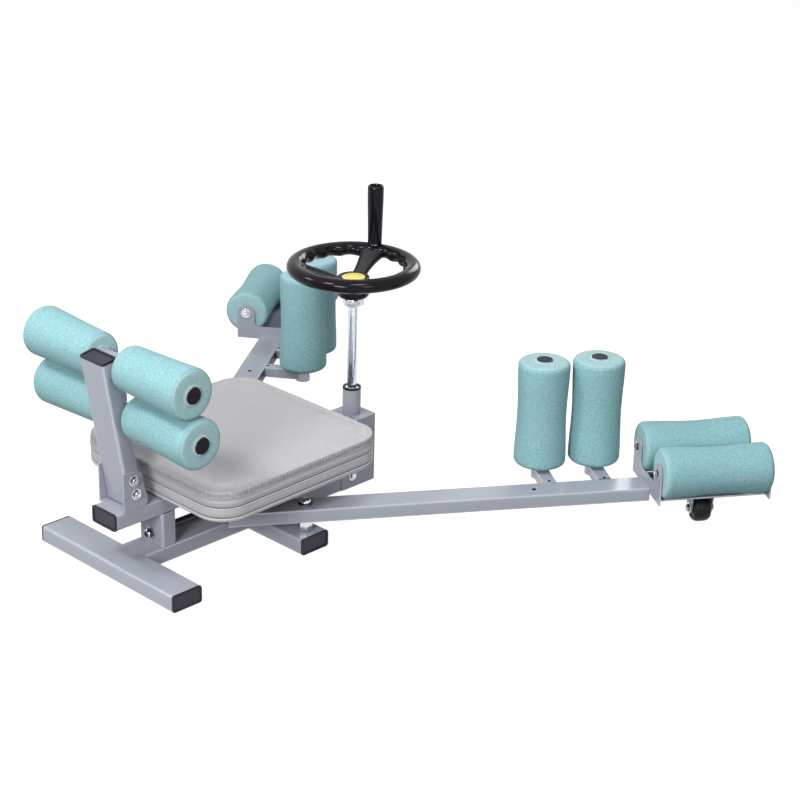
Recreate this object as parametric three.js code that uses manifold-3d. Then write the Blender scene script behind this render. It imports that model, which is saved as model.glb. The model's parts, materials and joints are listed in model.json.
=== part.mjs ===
// Leg stretching machine: a floor frame with a seat, a leaning back post with four foam
// rollers, and two swinging legs on casters. A handwheel turns a shaft, a bevel gear pair
// and a lead screw, and the nut on the screw spreads the legs through two links.
// Millimetres. X runs forward from the back post to the handwheel, Y to the sitter's left
// and Z up. The origin is on the floor under the middle of the front cross foot.
import * as THREE from 'three';
import { mergeVertices } from 'three/addons/utils/BufferGeometryUtils.js';
import Module from 'manifold-3d';

const wasm = await Module();
wasm.setup();

// Seats, cuts and roundness
const clearance = 0.3;
const overrun = 2;
const cornerSteps = 1;
const outlineSteps = 4;
const rodSides = 16;
const foamSides = 20;
const foamBodySteps = 3;
const foamEndSteps = 2;
const rimSides = 36;
const rimSectionSides = 10;

// Floor frame of one flat oblong tube
const tubeWide = 60;
const tubeTall = 30;
const tubeWall = 2;
const tubeCorner = 4;
const backReach = 268.5;
const rearFootMargin = 47.5;
const rearPostMargin = 64.5;
const rearReach = backReach + rearFootMargin;
const rearPostReach = backReach - rearPostMargin;
const rearFootSpan = 348;
const frontFootSpan = 335;
const rearPostHeight = 60.8;

// Plastic tube caps
const capFace = 4;
const capPlug = 9;
const capRim = 3.5;
const capDish = 1.5;

// Back post, bracket and bolts
const backLean = THREE.MathUtils.degToRad(9.8);
const backHeight = 272.5;
const backLift = 8.5;
const bracketSheet = 3;
const bracketRearMargin = 29.5;
const bracketFrontMargin = 19;
const bracketRearReach = backReach + bracketRearMargin;
const bracketFrontReach = backReach - bracketFrontMargin;
const bracketHeight = 67.5;
const bracketRound = 7;
const lowerBackBoltHeight = 27.5;
const upperBackBoltHeight = 53;
const backBoltRadius = 4;
const backBoltHead = 6.8;
const backBoltHeadTall = 5.5;

// Back rollers and the cross tubes that carry them
const crossTubeRadius = 14;
const crossTubeWall = 2;
const crossTubeSpan = 386;
const crossTubePlug = 12;
const ventRadius = 3;
const crossTubeTopDrop = 22.5;
const crossTubeSpacing = 89.5;
const upperCrossHeight = backHeight - crossTubeTopDrop;
const lowerCrossHeight = upperCrossHeight - crossTubeSpacing;
const rollerEndInset = 2;
const backRollerGap = 3;
const backRollerLength = crossTubeSpan / 2 - rollerEndInset - tubeWide / 2 - backRollerGap;
const backRollerEndRadius = 42.5;
const backRollerWaistRadius = 37.5;
const backRollerRound = 13;

// Long foam rollers of the legs
const legRollerLength = 193;
const postRollerEndRadius = 46;
const postRollerWaistRadius = 43.2;
const calfRollerEndRadius = 44.3;
const calfRollerWaistRadius = 41;
const legRollerRound = 9;

// Seat board and cushion
const cushionLength = 372;
const cushionSetback = 43.5;
const cushionReach = backReach - cushionSetback - cushionLength / 2;
const cushionWidth = 372;
const cushionCorner = 52;
const cushionLift = 6;
const cushionTop = 61;
const cushionCrown = 6;
const cushionDraw = 2.5;
const cushionEdgeRound = 12;
const cushionSeam = 25.5;
const crownShoulderShare = 0.9;
const pipingRadius = 2;
const pipingSpacing = 10;
const boardThick = 12;
const boardInset = 24;
const cushionCornerSteps = 4;

// Gear housing at the front of the frame
const housingRearX = 225;
const housingLength = 52;
const housingHeight = 131.5;
const housingSheet = 2.3;
const housingLift = 2;
const housingRound = 3;
const flangeReach = 32;
const flangeTall = 26;
const slotLength = 11;
const slotWidth = 4;
const slotInset = 7;
const slotOffset = 18;
const housingBoltRadius = 4;
const housingBoltHead = 6.5;
const housingBoltHeadTall = 3.6;
const housingBoltInset = 4.5;

// Upright shaft, its collar and its coupling nut
const shaftInset = 21.5;
const shaftX = housingRearX + shaftInset;
const shaftRadius = 8.5;
const shaftHubDepth = 36;
const collarRadius = 16.5;
const collarWall = 4;
const collarTall = 48;
const bushFace = 4;
const bushSleeve = 22;
const couplingWide = 39;
const couplingTall = 14;

// Handwheel
const hubBottomZ = 349.5;
const hubTall = 42.5;
const hubBottomRadius = 20;
const hubRadius = 29;
const hubBowl = 9;
const rimCentreRadius = 102;
const rimLift = 59.5;
const rimCentreZ = hubBottomZ + rimLift;
const rimSectionRadius = 13.5;
const spokeCount = 3;
const spokeWide = 26;
const spokeThick = 13;
const spokeRootShare = 0.86;
const spokeRise = 4;
const badgeRadius = 20.5;
const badgeThick = 1.2;
const badgeRim = 2;
const handleBearing = THREE.MathUtils.degToRad(24);

// Revolving handle on the rim
const spindleRadius = 5;
const spindleSeatRadius = 10;
const spindleSeatTall = 3;
const spindleRootDepth = 8;
const gripLength = 104;
const gripBaseRadius = 12.5;
const gripTopRadius = 14.5;
const gripRound = 4;
const gripDishRadius = 8.5;
const gripDishDepth = 12;

// Bevel gears
const gearPitchRadius = 15;
const gearToothCount = 14;
const gearFaceShare = 0.5;
const gearToothShare = 0.16;
const gearHubRadius = 10;
const gearHubTall = 3;

// Lead screw, nut carriage and links
const screwZ = 48;
const screwRadius = 6.5;
const journalRadius = 5;
const screwEndNutTall = 8;
const screwEndNutRadius = 8.6;
const screwWasherRadius = 10;
const screwWasherThick = 2.5;
const carriageLength = 32;
const carriageWide = 60;
const carriageClear = 1;
const linkPinOffset = 20;
const linkPinRadius = 5;
const linkLength = 130;
const linkWide = 20;
const linkThick = 4;
const linkHeadRadius = 8;
const linkHeadTall = 4.6;
const linkRun = 0.5;
const armPinRadius = 95;

// Swinging legs
const pivotInset = 24.8;
const pivotSpacing = frontFootSpan - 2 * pivotInset;
const legAngle = THREE.MathUtils.degToRad(34.55);
const legWide = 50;
const legTall = 25;
const legWall = 2;
const legCorner = 3;
const legBottomZ = 55;
const legInnerReach = 134;
const legOuterReach = 600;
const postSpacing = 99.3;
const postSetback = 67.3;
const firstPostReach = legOuterReach - postSetback - postSpacing;
const beamHoleSetback = 35;
const beamHoleReach = firstPostReach - beamHoleSetback;
const beamHoleRadius = 4;
const stubWide = 25;
const stubTall = 20;
const stubWall = 2;
const stubCorner = 2.5;
const postOffset = 99.4;
const postRadius = 14;
const postWall = 2;
const postPlug = 10;
const postDrop = 3;
const postRollerLift = 5;
const stubHoleRadius = 3;
const stubHoleOffset = 4;

// Leg pivot bolts
const pivotRadius = 8;
const pivotNutRadius = 12;
const pivotNutTall = 10;
const pivotWasherRadius = 12.5;
const pivotWasherThick = 2.5;
const pivotHeadRadius = 9;
const pivotHeadTall = 6;

// Calf cradles
const cradleLength = 202;
const cradleSheet = 3;
const cradleBottomZ = 69.4;
const cradleBaseWide = 114;
const earZ = 122.5;
const earOffset = 57;
const earRadius = 18;
const cradleDip = 26;
const cradleRound = 10;
const axleRadius = 4;
const axleHeadRadius = 7.2;
const axleHeadTall = 5;

// Casters
const casterSetout = 103;
const casterReach = legOuterReach + casterSetout;
const wheelRadius = 25;
const wheelWide = 32;
const wheelRound = 8;
const forkSheet = 2.5;
const forkGap = 1.2;
const forkWide = 38;
const forkFootRadius = 11;
const forkBoltRadius = 4;
const forkBoltHeadTall = 4.5;
const forkBoltHeadRadius = 7;

const railBottomZ = tubeTall + rearPostHeight;
const railTopZ = railBottomZ + tubeTall;
const housingWide = tubeWide + 2 * housingSheet;
const legTopZ = legBottomZ + legTall;
const postAxisN = tubeTall / 2 + crossTubeRadius + clearance;
const sides = [
  { name: 'right', out: -1 },
  { name: 'left', out: 1 },
];

// Finishes: colour, roughness, metalness
const finish = (color, roughness, metalness) => () =>
  new THREE.MeshStandardMaterial({ color, roughness, metalness });
const paint = finish(0xa9abb6, 0.32, 0.45);
const blackPlastic = finish(0x222226, 0.5, 0);
const foam = finish(0x9fcdc8, 0.9, 0);
const vinyl = finish(0xb9b4b3, 0.55, 0);
const plywood = finish(0x8a7354, 0.8, 0);
const zinc = finish(0xc4c8cc, 0.3, 0.9);
const chrome = finish(0xdadde0, 0.12, 1);
const bakelite = finish(0x151517, 0.25, 0);
const yellow = finish(0xe0c21a, 0.4, 0);
const steel = finish(0x8e9298, 0.4, 0.9);
const castIron = finish(0x4a4c50, 0.6, 0.7);
const tyreBlack = finish(0x1b1b1c, 0.6, 0);

// A sweep direction: where the section's width, its height and the sweep itself point
const axisX = new THREE.Vector3(1, 0, 0);
const axisY = new THREE.Vector3(0, 1, 0);
const axisZ = new THREE.Vector3(0, 0, 1);
const sweepFrames = {
  x: new THREE.Matrix4().makeBasis(axisY, axisZ, axisX),
  y: new THREE.Matrix4().makeBasis(axisX.clone().negate(), axisZ, axisY),
  z: new THREE.Matrix4(),
};

function outward(geometry) {
  const index = geometry.index.array;
  const at = geometry.attributes.position;
  const a = new THREE.Vector3();
  const b = new THREE.Vector3();
  const c = new THREE.Vector3();
  let volume = 0;
  for (let i = 0; i < index.length; i += 3) {
    a.fromBufferAttribute(at, index[i]);
    b.fromBufferAttribute(at, index[i + 1]);
    c.fromBufferAttribute(at, index[i + 2]);
    volume += a.dot(b.cross(c));
  }
  if (volume < 0) geometry.setIndex(Array.from(index).reverse());
  return geometry;
}

function closed(source) {
  const geometry = source.clone();
  geometry.deleteAttribute('normal');
  geometry.deleteAttribute('uv');
  const merged = mergeVertices(geometry);
  const index = merged.index.array;
  const kept = [];
  for (let i = 0; i < index.length; i += 3) {
    const [a, b, c] = [index[i], index[i + 1], index[i + 2]];
    if (a !== b && b !== c && c !== a) kept.push(a, b, c);
  }
  merged.setIndex(kept);
  return outward(merged);
}

function solidOf(geometry) {
  const { attributes, index } = closed(geometry);
  return new wasm.Manifold(new wasm.Mesh({
    numProp: 3,
    vertProperties: attributes.position.array,
    triVerts: Uint32Array.from(index.array),
  }));
}

function geometryOf(solid) {
  const { vertProperties, triVerts } = solid.getMesh();
  const geometry = new THREE.BufferGeometry();
  geometry.setAttribute('position', new THREE.BufferAttribute(vertProperties, 3));
  geometry.setIndex(new THREE.BufferAttribute(triVerts, 1));
  return geometry;
}

function join(...geometries) {
  return geometryOf(geometries.map(solidOf).reduce((whole, next) => whole.add(next)));
}

function cut(geometry, ...cutters) {
  return geometryOf(cutters.map(solidOf).reduce((whole, next) => whole.subtract(next), solidOf(geometry)));
}

function piece(name, geometry, material, parent) {
  const mesh = new THREE.Mesh(closed(geometry), material());
  mesh.geometry.computeVertexNormals();
  mesh.name = name;
  parent.add(mesh);
  return mesh;
}

// A rectangle with round corners, centred, as a shape or a hole
function oblong(Kind, wide, tall, corner) {
  const outline = new Kind();
  const x = wide / 2 - corner;
  const y = tall / 2 - corner;
  outline.moveTo(x + corner, -y);
  outline.absarc(x, y, corner, 0, Math.PI / 2);
  outline.absarc(-x, y, corner, Math.PI / 2, Math.PI);
  outline.absarc(-x, -y, corner, Math.PI, 1.5 * Math.PI);
  outline.absarc(x, -y, corner, 1.5 * Math.PI, 2 * Math.PI);
  return outline;
}

function tubeSection(wide, tall, wall, corner) {
  const section = oblong(THREE.Shape, wide, tall, corner);
  section.holes.push(oblong(THREE.Path, wide - 2 * wall, tall - 2 * wall, corner - wall / 2));
  return section;
}

function sweep(section, axis, from, to, curveSegments = cornerSteps) {
  const depth = to - from;
  const geometry = new THREE.ExtrudeGeometry(section, { depth, bevelEnabled: false, curveSegments });
  return geometry.translate(0, 0, from).applyMatrix4(sweepFrames[axis]);
}

function rod(radius, axis, from, to, count = rodSides) {
  const geometry = new THREE.CylinderGeometry(radius, radius, to - from, count);
  geometry.rotateX(Math.PI / 2).translate(0, 0, (from + to) / 2);
  return geometry.applyMatrix4(sweepFrames[axis]);
}

function hexagon(radius, axis, from, to) {
  return rod(radius, axis, from, to, 6);
}

function block(x0, x1, y0, y1, z0, z1) {
  return new THREE.BoxGeometry(x1 - x0, y1 - y0, z1 - z0)
    .translate((x0 + x1) / 2, (y0 + y1) / 2, (z0 + z1) / 2);
}

// A profile of [radius, distance along the axis] pairs, turned about the axis
function turned(profile, axis, count = rodSides) {
  const points = profile.map(([radius, along]) => new THREE.Vector2(radius, along));
  const geometry = new THREE.LatheGeometry(points, count).rotateX(Math.PI / 2);
  return closed(geometry).applyMatrix4(sweepFrames[axis]);
}

function ring(profile, axis, count = rodSides) {
  return turned([...profile, profile[0]], axis, count);
}

// Tube cap: a dished face and a plug that fits inside the tube, pointing along Z
function tubeCap() {
  const plugWide = tubeWide - 2 * (tubeWall + clearance);
  const plugTall = tubeTall - 2 * (tubeWall + clearance);
  const face = sweep(oblong(THREE.Shape, tubeWide, tubeTall, tubeCorner), 'z', 0, capFace);
  const plug = sweep(oblong(THREE.Shape, plugWide, plugTall, tubeWall), 'z', -capPlug, overrun);
  const dishWide = tubeWide - 2 * capRim;
  const dishTall = tubeTall - 2 * capRim;
  const dish = sweep(
    oblong(THREE.Shape, dishWide, dishTall, tubeWall), 'z', capFace - capDish, capFace + overrun,
  );
  return cut(join(face, plug), dish);
}

function crossFoot(name, x, span, parent) {
  const half = span / 2 - capFace;
  const section = tubeSection(tubeWide, tubeTall, tubeWall, tubeCorner);
  const foot = sweep(section, 'y', -half, half).translate(x, 0, tubeTall / 2);
  for (const { name: side, out } of sides) {
    const cap = tubeCap().applyMatrix4(sweepFrames.y);
    if (out < 0) cap.rotateZ(Math.PI);
    cap.translate(x, out * half, tubeTall / 2);
    piece(`${name}_cap_${side}`, cap, blackPlastic, parent);
  }
  return foot;
}

function floorFrame(parent) {
  const section = tubeSection(tubeWide, tubeTall, tubeWall, tubeCorner);
  const rearFootX = tubeWide / 2 - rearReach;
  piece('rear_foot', crossFoot('rear_foot', rearFootX, rearFootSpan, parent), paint, parent);
  const pivotBores = sides.map(({ out }) =>
    rod(pivotRadius + clearance, 'z', tubeTall / 2, tubeTall + overrun)
      .translate(0, out * pivotSpacing / 2, 0));
  const frontFoot = crossFoot('front_foot', 0, frontFootSpan, parent);
  piece('front_foot', cut(frontFoot, ...pivotBores), paint, parent);
  const rearBeam = sweep(section, 'x', rearFootX + tubeWide / 2, -tubeWide / 2);
  piece('rear_beam', rearBeam.translate(0, 0, tubeTall / 2), paint, parent);
  const beamBolt = rod(housingBoltRadius + clearance, 'y', -tubeWide, tubeWide);
  beamBolt.translate(housingBoltX(), 0, housingBoltZ());
  const frontBeam = sweep(section, 'x', tubeWide / 2, housingRearX - clearance);
  piece('front_beam', cut(frontBeam.translate(0, 0, tubeTall / 2), beamBolt), paint, parent);
}

function upperFrame(parent) {
  const post = sweep(
    tubeSection(tubeTall, tubeWide, tubeWall, tubeCorner), 'z', tubeTall, railBottomZ,
  ).translate(-rearPostReach, 0, 0);
  const journalBore = rod(journalRadius + clearance, 'x', -rearPostReach - tubeTall, -rearPostReach + tubeTall);
  piece('rear_post', cut(post, journalBore.translate(0, 0, screwZ)), paint, parent);
  const rail = sweep(
    tubeSection(tubeWide, tubeTall, tubeWall, tubeCorner), 'x', capFace - rearReach, housingRearX,
  );
  piece('seat_rail', rail.translate(0, 0, railBottomZ + tubeTall / 2), paint, parent);
  const cap = tubeCap().applyMatrix4(sweepFrames.x).rotateZ(Math.PI);
  cap.translate(capFace - rearReach, 0, railBottomZ + tubeTall / 2);
  piece('seat_rail_cap', cap, blackPlastic, parent);
}

// Side ear of the back bracket, whose front edge leans with the post
function earOutline() {
  const rear = -bracketRearReach;
  const front = -bracketFrontReach;
  const shift = Math.tan(backLean) * bracketHeight;
  const outline = new THREE.Shape();
  outline.moveTo(-rear, 0);
  outline.lineTo(-rear, bracketHeight);
  outline.lineTo(-(front - shift - bracketRound), bracketHeight);
  outline.lineTo(-(front - shift), bracketHeight - bracketRound);
  outline.lineTo(-front, bracketRound);
  outline.lineTo(-(front - bracketRound), 0);
  outline.closePath();
  return outline;
}

function backBracket(parent) {
  const inner = tubeWide / 2 + clearance;
  const outer = inner + bracketSheet;
  const rear = -bracketRearReach;
  const front = -bracketFrontReach - bracketRound;
  const base = block(rear, front, -outer, outer, 0, bracketSheet);
  const ears = [
    sweep(earOutline(), 'y', inner, outer),
    sweep(earOutline(), 'y', -outer, -inner),
  ];
  const holes = [lowerBackBoltHeight, upperBackBoltHeight].map((height) =>
    rod(backBoltRadius + clearance, 'y', -tubeWide, tubeWide)
      .translate(-backReach - Math.sin(backLean) * height, 0, Math.cos(backLean) * height));
  const bracket = cut(join(base, ...ears), ...holes).translate(0, 0, railTopZ);
  piece('back_bracket', bracket, paint, parent);
}

function backBolt(height) {
  const face = tubeWide / 2 + clearance + bracketSheet + clearance;
  const shank = rod(backBoltRadius, 'y', -face - clearance, face + clearance);
  const head = hexagon(backBoltHead, 'y', -face - backBoltHeadTall, -face);
  const nut = hexagon(backBoltHead, 'y', face, face + backBoltHeadTall);
  return join(shank, head, nut).translate(0, 0, height);
}

// Waisted foam roller along an axis, with a bore and round ends
function foamRoller(axis, bore, length, endRadius, waistRadius, round) {
  const start = [[bore, 0]];
  for (let i = 0; i <= foamEndSteps; i += 1) {
    const turn = (i / foamEndSteps) * Math.PI / 2;
    start.push([endRadius - round * (1 - Math.sin(turn)), round * (1 - Math.cos(turn))]);
  }
  const body = new THREE.SplineCurve([
    new THREE.Vector2(endRadius, round),
    new THREE.Vector2(waistRadius, length / 2),
    new THREE.Vector2(endRadius, length - round),
  ]).getPoints(foamBodySteps).slice(1, -1).map((point) => [point.x, point.y]);
  const end = start.map(([radius, along]) => [radius, length - along]).reverse();
  return ring([...start, ...body, ...end], axis, foamSides);
}

// Cross tube with plugged ends, and a vent hole that faces the post
function crossTube() {
  const half = crossTubeSpan / 2;
  const bore = rod(crossTubeRadius - crossTubeWall, 'y', crossTubePlug - half, half - crossTubePlug);
  const vent = rod(ventRadius, 'x', -crossTubeRadius - overrun, 0);
  return cut(rod(crossTubeRadius, 'y', -half, half), bore, vent);
}

function backrest(parent) {
  backBracket(parent);
  const lean = new THREE.Group();
  lean.position.set(-backReach, 0, railTopZ);
  lean.rotation.y = -backLean;
  parent.add(lean);
  const bolts = { lower: lowerBackBoltHeight, upper: upperBackBoltHeight };
  const bores = Object.values(bolts).map((height) =>
    rod(backBoltRadius + clearance, 'y', -tubeWide, tubeWide).translate(0, 0, height));
  const post = sweep(
    tubeSection(tubeTall, tubeWide, tubeWall, tubeCorner), 'z', backLift, backHeight - capFace,
  );
  piece('back_post', cut(post, ...bores), paint, lean);
  const cap = tubeCap().rotateZ(Math.PI / 2).translate(0, 0, backHeight - capFace);
  piece('back_post_cap', cap, blackPlastic, lean);
  for (const [level, height] of Object.entries(bolts)) {
    piece(`back_bolt_${level}`, backBolt(height), zinc, lean);
  }
  const levels = { lower: lowerCrossHeight, upper: upperCrossHeight };
  for (const [level, height] of Object.entries(levels)) {
    piece(`${level}_cross_tube`, crossTube().translate(postAxisN, 0, height), paint, lean);
    for (const { name, out } of sides) {
      const roller = foamRoller(
        'y', crossTubeRadius + clearance, backRollerLength,
        backRollerEndRadius, backRollerWaistRadius, backRollerRound,
      );
      roller.translate(0, crossTubeSpan / 2 - rollerEndInset - backRollerLength, 0);
      if (out < 0) roller.rotateZ(Math.PI);
      piece(`${level}_back_roller_${name}`, roller.translate(postAxisN, 0, height), foam, lean);
    }
  }
}

// One level of the cushion: a rounded rectangle drawn in from the widest outline
function cushionRing(inset, z) {
  const corner = Math.max(cushionCorner - inset, cushionCorner / 4);
  const shape = oblong(THREE.Shape, cushionLength - 2 * inset, cushionWidth - 2 * inset, corner);
  const points = shape.getPoints(cushionCornerSteps);
  if (points[0].distanceTo(points[points.length - 1]) < clearance) points.pop();
  return points.map((point) => new THREE.Vector3(point.x, point.y, z));
}

// Levels from the roof of the underside recess, out, up and over to the crown
function cushionLevels() {
  const recess = boardInset - clearance;
  const roof = boardThick + clearance;
  const draw = cushionDraw;
  const round = cushionEdgeRound;
  const top = cushionTop;
  const seam = cushionSeam;
  const piping = [-1, 1].flatMap((way) => {
    const z = seam + way * pipingSpacing / 2;
    return [[draw, z - pipingRadius], [draw - pipingRadius, z], [draw, z + pipingRadius]];
  });
  return [
    [recess, roof],
    [recess, cushionLift],
    [draw + round / 2, cushionLift],
    [draw / 2, cushionLift + round / 3],
    [0, (cushionLift + seam - pipingSpacing / 2) / 2],
    ...piping,
    [0, (seam + top) / 2],
    [draw / 2, top - round / 2],
    [round / 2, top - round / 6],
    [round, top],
    [round + draw, top - draw / 3],
    [2 * round, top + cushionCrown / 4],
    [cushionCorner, top + cushionCrown / 2],
    [2 * cushionCorner, top + cushionCrown * crownShoulderShare],
  ];
}

function cushionGeometry() {
  const levels = cushionLevels().map(([inset, z]) => cushionRing(inset, z));
  const count = levels[0].length;
  const vertices = levels.flat();
  const index = [];
  for (let level = 0; level + 1 < levels.length; level += 1) {
    for (let i = 0; i < count; i += 1) {
      const a = level * count + i;
      const b = level * count + (i + 1) % count;
      index.push(a, b, b + count, a, b + count, a + count);
    }
  }
  const roof = vertices.push(new THREE.Vector3(0, 0, boardThick + clearance)) - 1;
  const crown = vertices.push(new THREE.Vector3(0, 0, cushionTop + cushionCrown)) - 1;
  const last = (levels.length - 1) * count;
  for (let i = 0; i < count; i += 1) {
    const next = (i + 1) % count;
    index.push(roof, next, i);
    index.push(crown, last + i, last + next);
  }
  const geometry = new THREE.BufferGeometry().setFromPoints(vertices);
  geometry.setIndex(index);
  return geometry;
}

function seat(parent) {
  const board = sweep(
    oblong(
      THREE.Shape, cushionLength - 2 * boardInset, cushionWidth - 2 * boardInset,
      cushionCorner - boardInset,
    ),
    'z', 0, boardThick,
  );
  piece('seat_board', board.translate(-cushionReach, 0, railTopZ), plywood, parent);
  const cushion = cushionGeometry().translate(-cushionReach, 0, railTopZ);
  piece('seat_cushion', cushion, vinyl, parent);
}

function housingBoltX() {
  return housingRearX - housingBoltInset;
}

function housingBoltZ() {
  return housingLift + flangeTall - housingBoltInset;
}

// Folded sheet box, open below, with two flanges that grip the floor beam
function gearHousing() {
  const middle = housingRearX + housingLength / 2;
  const inLength = housingLength - 2 * housingSheet;
  const inWide = housingWide - 2 * housingSheet;
  const shell = sweep(
    oblong(THREE.Shape, housingLength, housingWide, housingRound), 'z', housingLift, housingHeight,
  ).translate(middle, 0, 0);
  const hollow = sweep(
    oblong(THREE.Shape, inLength, inWide, housingSheet), 'z', -overrun, housingHeight - housingSheet,
  ).translate(middle, 0, 0);
  const flanges = sides.map(({ out }) => {
    const inner = out * tubeWide / 2;
    const outer = out * housingWide / 2;
    return block(
      housingRearX - flangeReach, housingRearX + housingRound,
      Math.min(inner, outer), Math.max(inner, outer), housingLift, housingLift + flangeTall,
    );
  });
  const slots = sides.map(({ out }) =>
    block(
      housingRearX + slotInset - slotWidth / 2, housingRearX + slotInset + slotWidth / 2,
      out * slotOffset - slotLength / 2, out * slotOffset + slotLength / 2,
      housingHeight - housingSheet - overrun, housingHeight + overrun,
    ));
  const shaftHole = rod(
    collarRadius - collarWall, 'z', housingHeight - housingSheet - overrun, housingHeight + overrun,
  ).translate(shaftX, 0, 0);
  const screwHole = rod(
    journalRadius + clearance, 'x', housingRearX - overrun, housingRearX + housingSheet + overrun,
  ).translate(0, 0, screwZ);
  const boltHole = rod(housingBoltRadius + clearance, 'y', -housingWide, housingWide);
  boltHole.translate(housingBoltX(), 0, housingBoltZ());
  return cut(join(cut(shell, hollow), ...flanges), ...slots, shaftHole, screwHole, boltHole);
}

function housingBolt() {
  const face = housingWide / 2;
  const shank = rod(housingBoltRadius, 'y', -face - clearance, face + clearance);
  const head = hexagon(housingBoltHead, 'y', -face - housingBoltHeadTall, -face);
  const nut = hexagon(housingBoltHead, 'y', face, face + housingBoltHeadTall);
  return join(shank, head, nut).translate(housingBoltX(), 0, housingBoltZ());
}

// Bevel gear along Z: its teeth stop just short of the pitch cone whose tip is at zero
function bevelGear() {
  const face = gearPitchRadius * gearFaceShare;
  const big = gearPitchRadius - clearance;
  const small = gearPitchRadius - face - clearance;
  const geometry = new THREE.CylinderGeometry(big, small, face, 2 * gearToothCount);
  const at = geometry.attributes.position;
  for (let i = 0; i < at.count; i += 1) {
    const tooth = Math.round(Math.atan2(at.getZ(i), at.getX(i)) / Math.PI * gearToothCount);
    const scale = tooth % 2 === 0 ? 1 : 1 - gearToothShare;
    at.setX(i, at.getX(i) * scale);
    at.setZ(i, at.getZ(i) * scale);
  }
  geometry.rotateX(Math.PI / 2).translate(0, 0, gearPitchRadius - face / 2);
  const hub = rod(gearHubRadius, 'z', gearPitchRadius - face / 2, gearPitchRadius + gearHubTall);
  const bore = rod(journalRadius + clearance, 'z', 0, gearPitchRadius + gearHubTall + overrun);
  return cut(join(geometry, hub), bore);
}

// Upright shaft: it steps down to the gear's bore below and carries the coupling nut above
function wheelShaft() {
  const gearTopZ = screwZ + gearPitchRadius + gearHubTall;
  const gearTipZ = screwZ + gearPitchRadius * gearFaceShare;
  const body = rod(shaftRadius, 'z', gearTopZ + clearance, hubBottomZ + shaftHubDepth);
  const journal = rod(journalRadius, 'z', gearTipZ, gearTopZ + overrun);
  const nut = hexagon(
    couplingWide / 2, 'z', hubBottomZ - couplingTall - clearance, hubBottomZ - clearance,
  );
  return join(body, journal, nut);
}

function driveTower(parent) {
  piece('gear_housing', gearHousing(), paint, parent);
  piece('housing_bolt', housingBolt(), zinc, parent);
  const tower = new THREE.Group();
  tower.position.x = shaftX;
  parent.add(tower);
  const bore = collarRadius - collarWall;
  const collarTopZ = housingHeight + collarTall;
  const collar = ring([
    [bore, housingHeight], [collarRadius, housingHeight],
    [collarRadius, collarTopZ], [bore, collarTopZ],
  ], 'z');
  piece('shaft_collar', collar, paint, tower);
  const bush = ring([
    [shaftRadius + clearance, collarTopZ - bushSleeve], [bore - clearance, collarTopZ - bushSleeve],
    [bore - clearance, collarTopZ], [collarRadius, collarTopZ],
    [collarRadius, collarTopZ + bushFace], [shaftRadius + clearance, collarTopZ + bushFace],
  ], 'z');
  piece('collar_bush', bush, blackPlastic, tower);
  piece('wheel_shaft', wheelShaft(), chrome, tower);
  piece('shaft_bevel_gear', bevelGear().translate(0, 0, screwZ), castIron, tower);
}

function handwheel() {
  const hubTopZ = hubBottomZ + hubTall;
  const hub = turned([
    [0, hubBottomZ], [hubBottomRadius, hubBottomZ], [hubRadius, hubBottomZ + hubBowl],
    [hubRadius, hubTopZ], [badgeRadius + clearance, hubTopZ],
    [badgeRadius + clearance, hubTopZ - badgeRim], [0, hubTopZ - badgeRim],
  ], 'z', foamSides);
  const section = [];
  for (let i = 0; i < rimSectionSides; i += 1) {
    const turn = (i / rimSectionSides) * 2 * Math.PI;
    section.push([
      rimCentreRadius + rimSectionRadius * Math.cos(turn),
      rimCentreZ + rimSectionRadius * Math.sin(turn),
    ]);
  }
  const rim = ring(section, 'z', rimSides);
  const spokes = [];
  for (let i = 0; i < spokeCount; i += 1) {
    const rootZ = hubBottomZ + hubTall * spokeRootShare;
    const side = new THREE.Shape([
      new THREE.Vector2(-hubRadius / 2, rootZ - spokeThick),
      new THREE.Vector2(-rimCentreRadius, rimCentreZ + spokeRise - spokeThick / 2),
      new THREE.Vector2(-rimCentreRadius, rimCentreZ + spokeRise + spokeThick / 2),
      new THREE.Vector2(-hubRadius / 2, rootZ),
    ]);
    const spoke = sweep(side, 'y', -spokeWide / 2, spokeWide / 2);
    spokes.push(spoke.rotateZ(handleBearing + (i / spokeCount) * 2 * Math.PI));
  }
  const shaftBore = rod(
    shaftRadius + clearance, 'z', hubBottomZ - overrun, hubBottomZ + shaftHubDepth + clearance,
  );
  const rimTopZ = rimCentreZ + rimSectionRadius;
  const handleBore = rod(
    spindleRadius + clearance, 'z', rimTopZ - spindleRootDepth, rimTopZ + overrun,
  ).translate(rimCentreRadius, 0, 0).rotateZ(handleBearing);
  return cut(join(hub, rim, ...spokes), shaftBore, handleBore);
}

// Handle: a fixed spindle with a seat flange, and the grip that turns on it
function wheelHandle(parent) {
  const base = rimCentreZ + rimSectionRadius + clearance;
  const seatTop = base + spindleSeatTall;
  const gripBase = seatTop + clearance;
  const gripTop = gripBase + gripLength;
  const spindleTop = gripTop - gripDishDepth;
  const handle = new THREE.Group();
  handle.rotation.z = handleBearing;
  parent.add(handle);
  const spindle = turned([
    [0, base - spindleRootDepth], [spindleRadius, base - spindleRootDepth],
    [spindleRadius, base], [spindleSeatRadius, base], [spindleSeatRadius, seatTop],
    [spindleRadius, seatTop], [spindleRadius, spindleTop + clearance], [0, spindleTop + clearance],
  ], 'z').translate(rimCentreRadius, 0, 0);
  piece('handle_spindle', spindle, zinc, handle);
  const bore = spindleRadius + clearance;
  const grip = ring([
    [bore, gripBase], [gripBaseRadius, gripBase], [gripTopRadius, gripTop - gripRound],
    [gripTopRadius - gripRound, gripTop], [gripDishRadius, gripTop],
    [gripDishRadius - overrun, gripTop - gripDishDepth], [bore, gripTop - gripDishDepth],
  ], 'z').translate(rimCentreRadius, 0, 0);
  piece('handle_grip', grip, bakelite, handle);
}

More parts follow.
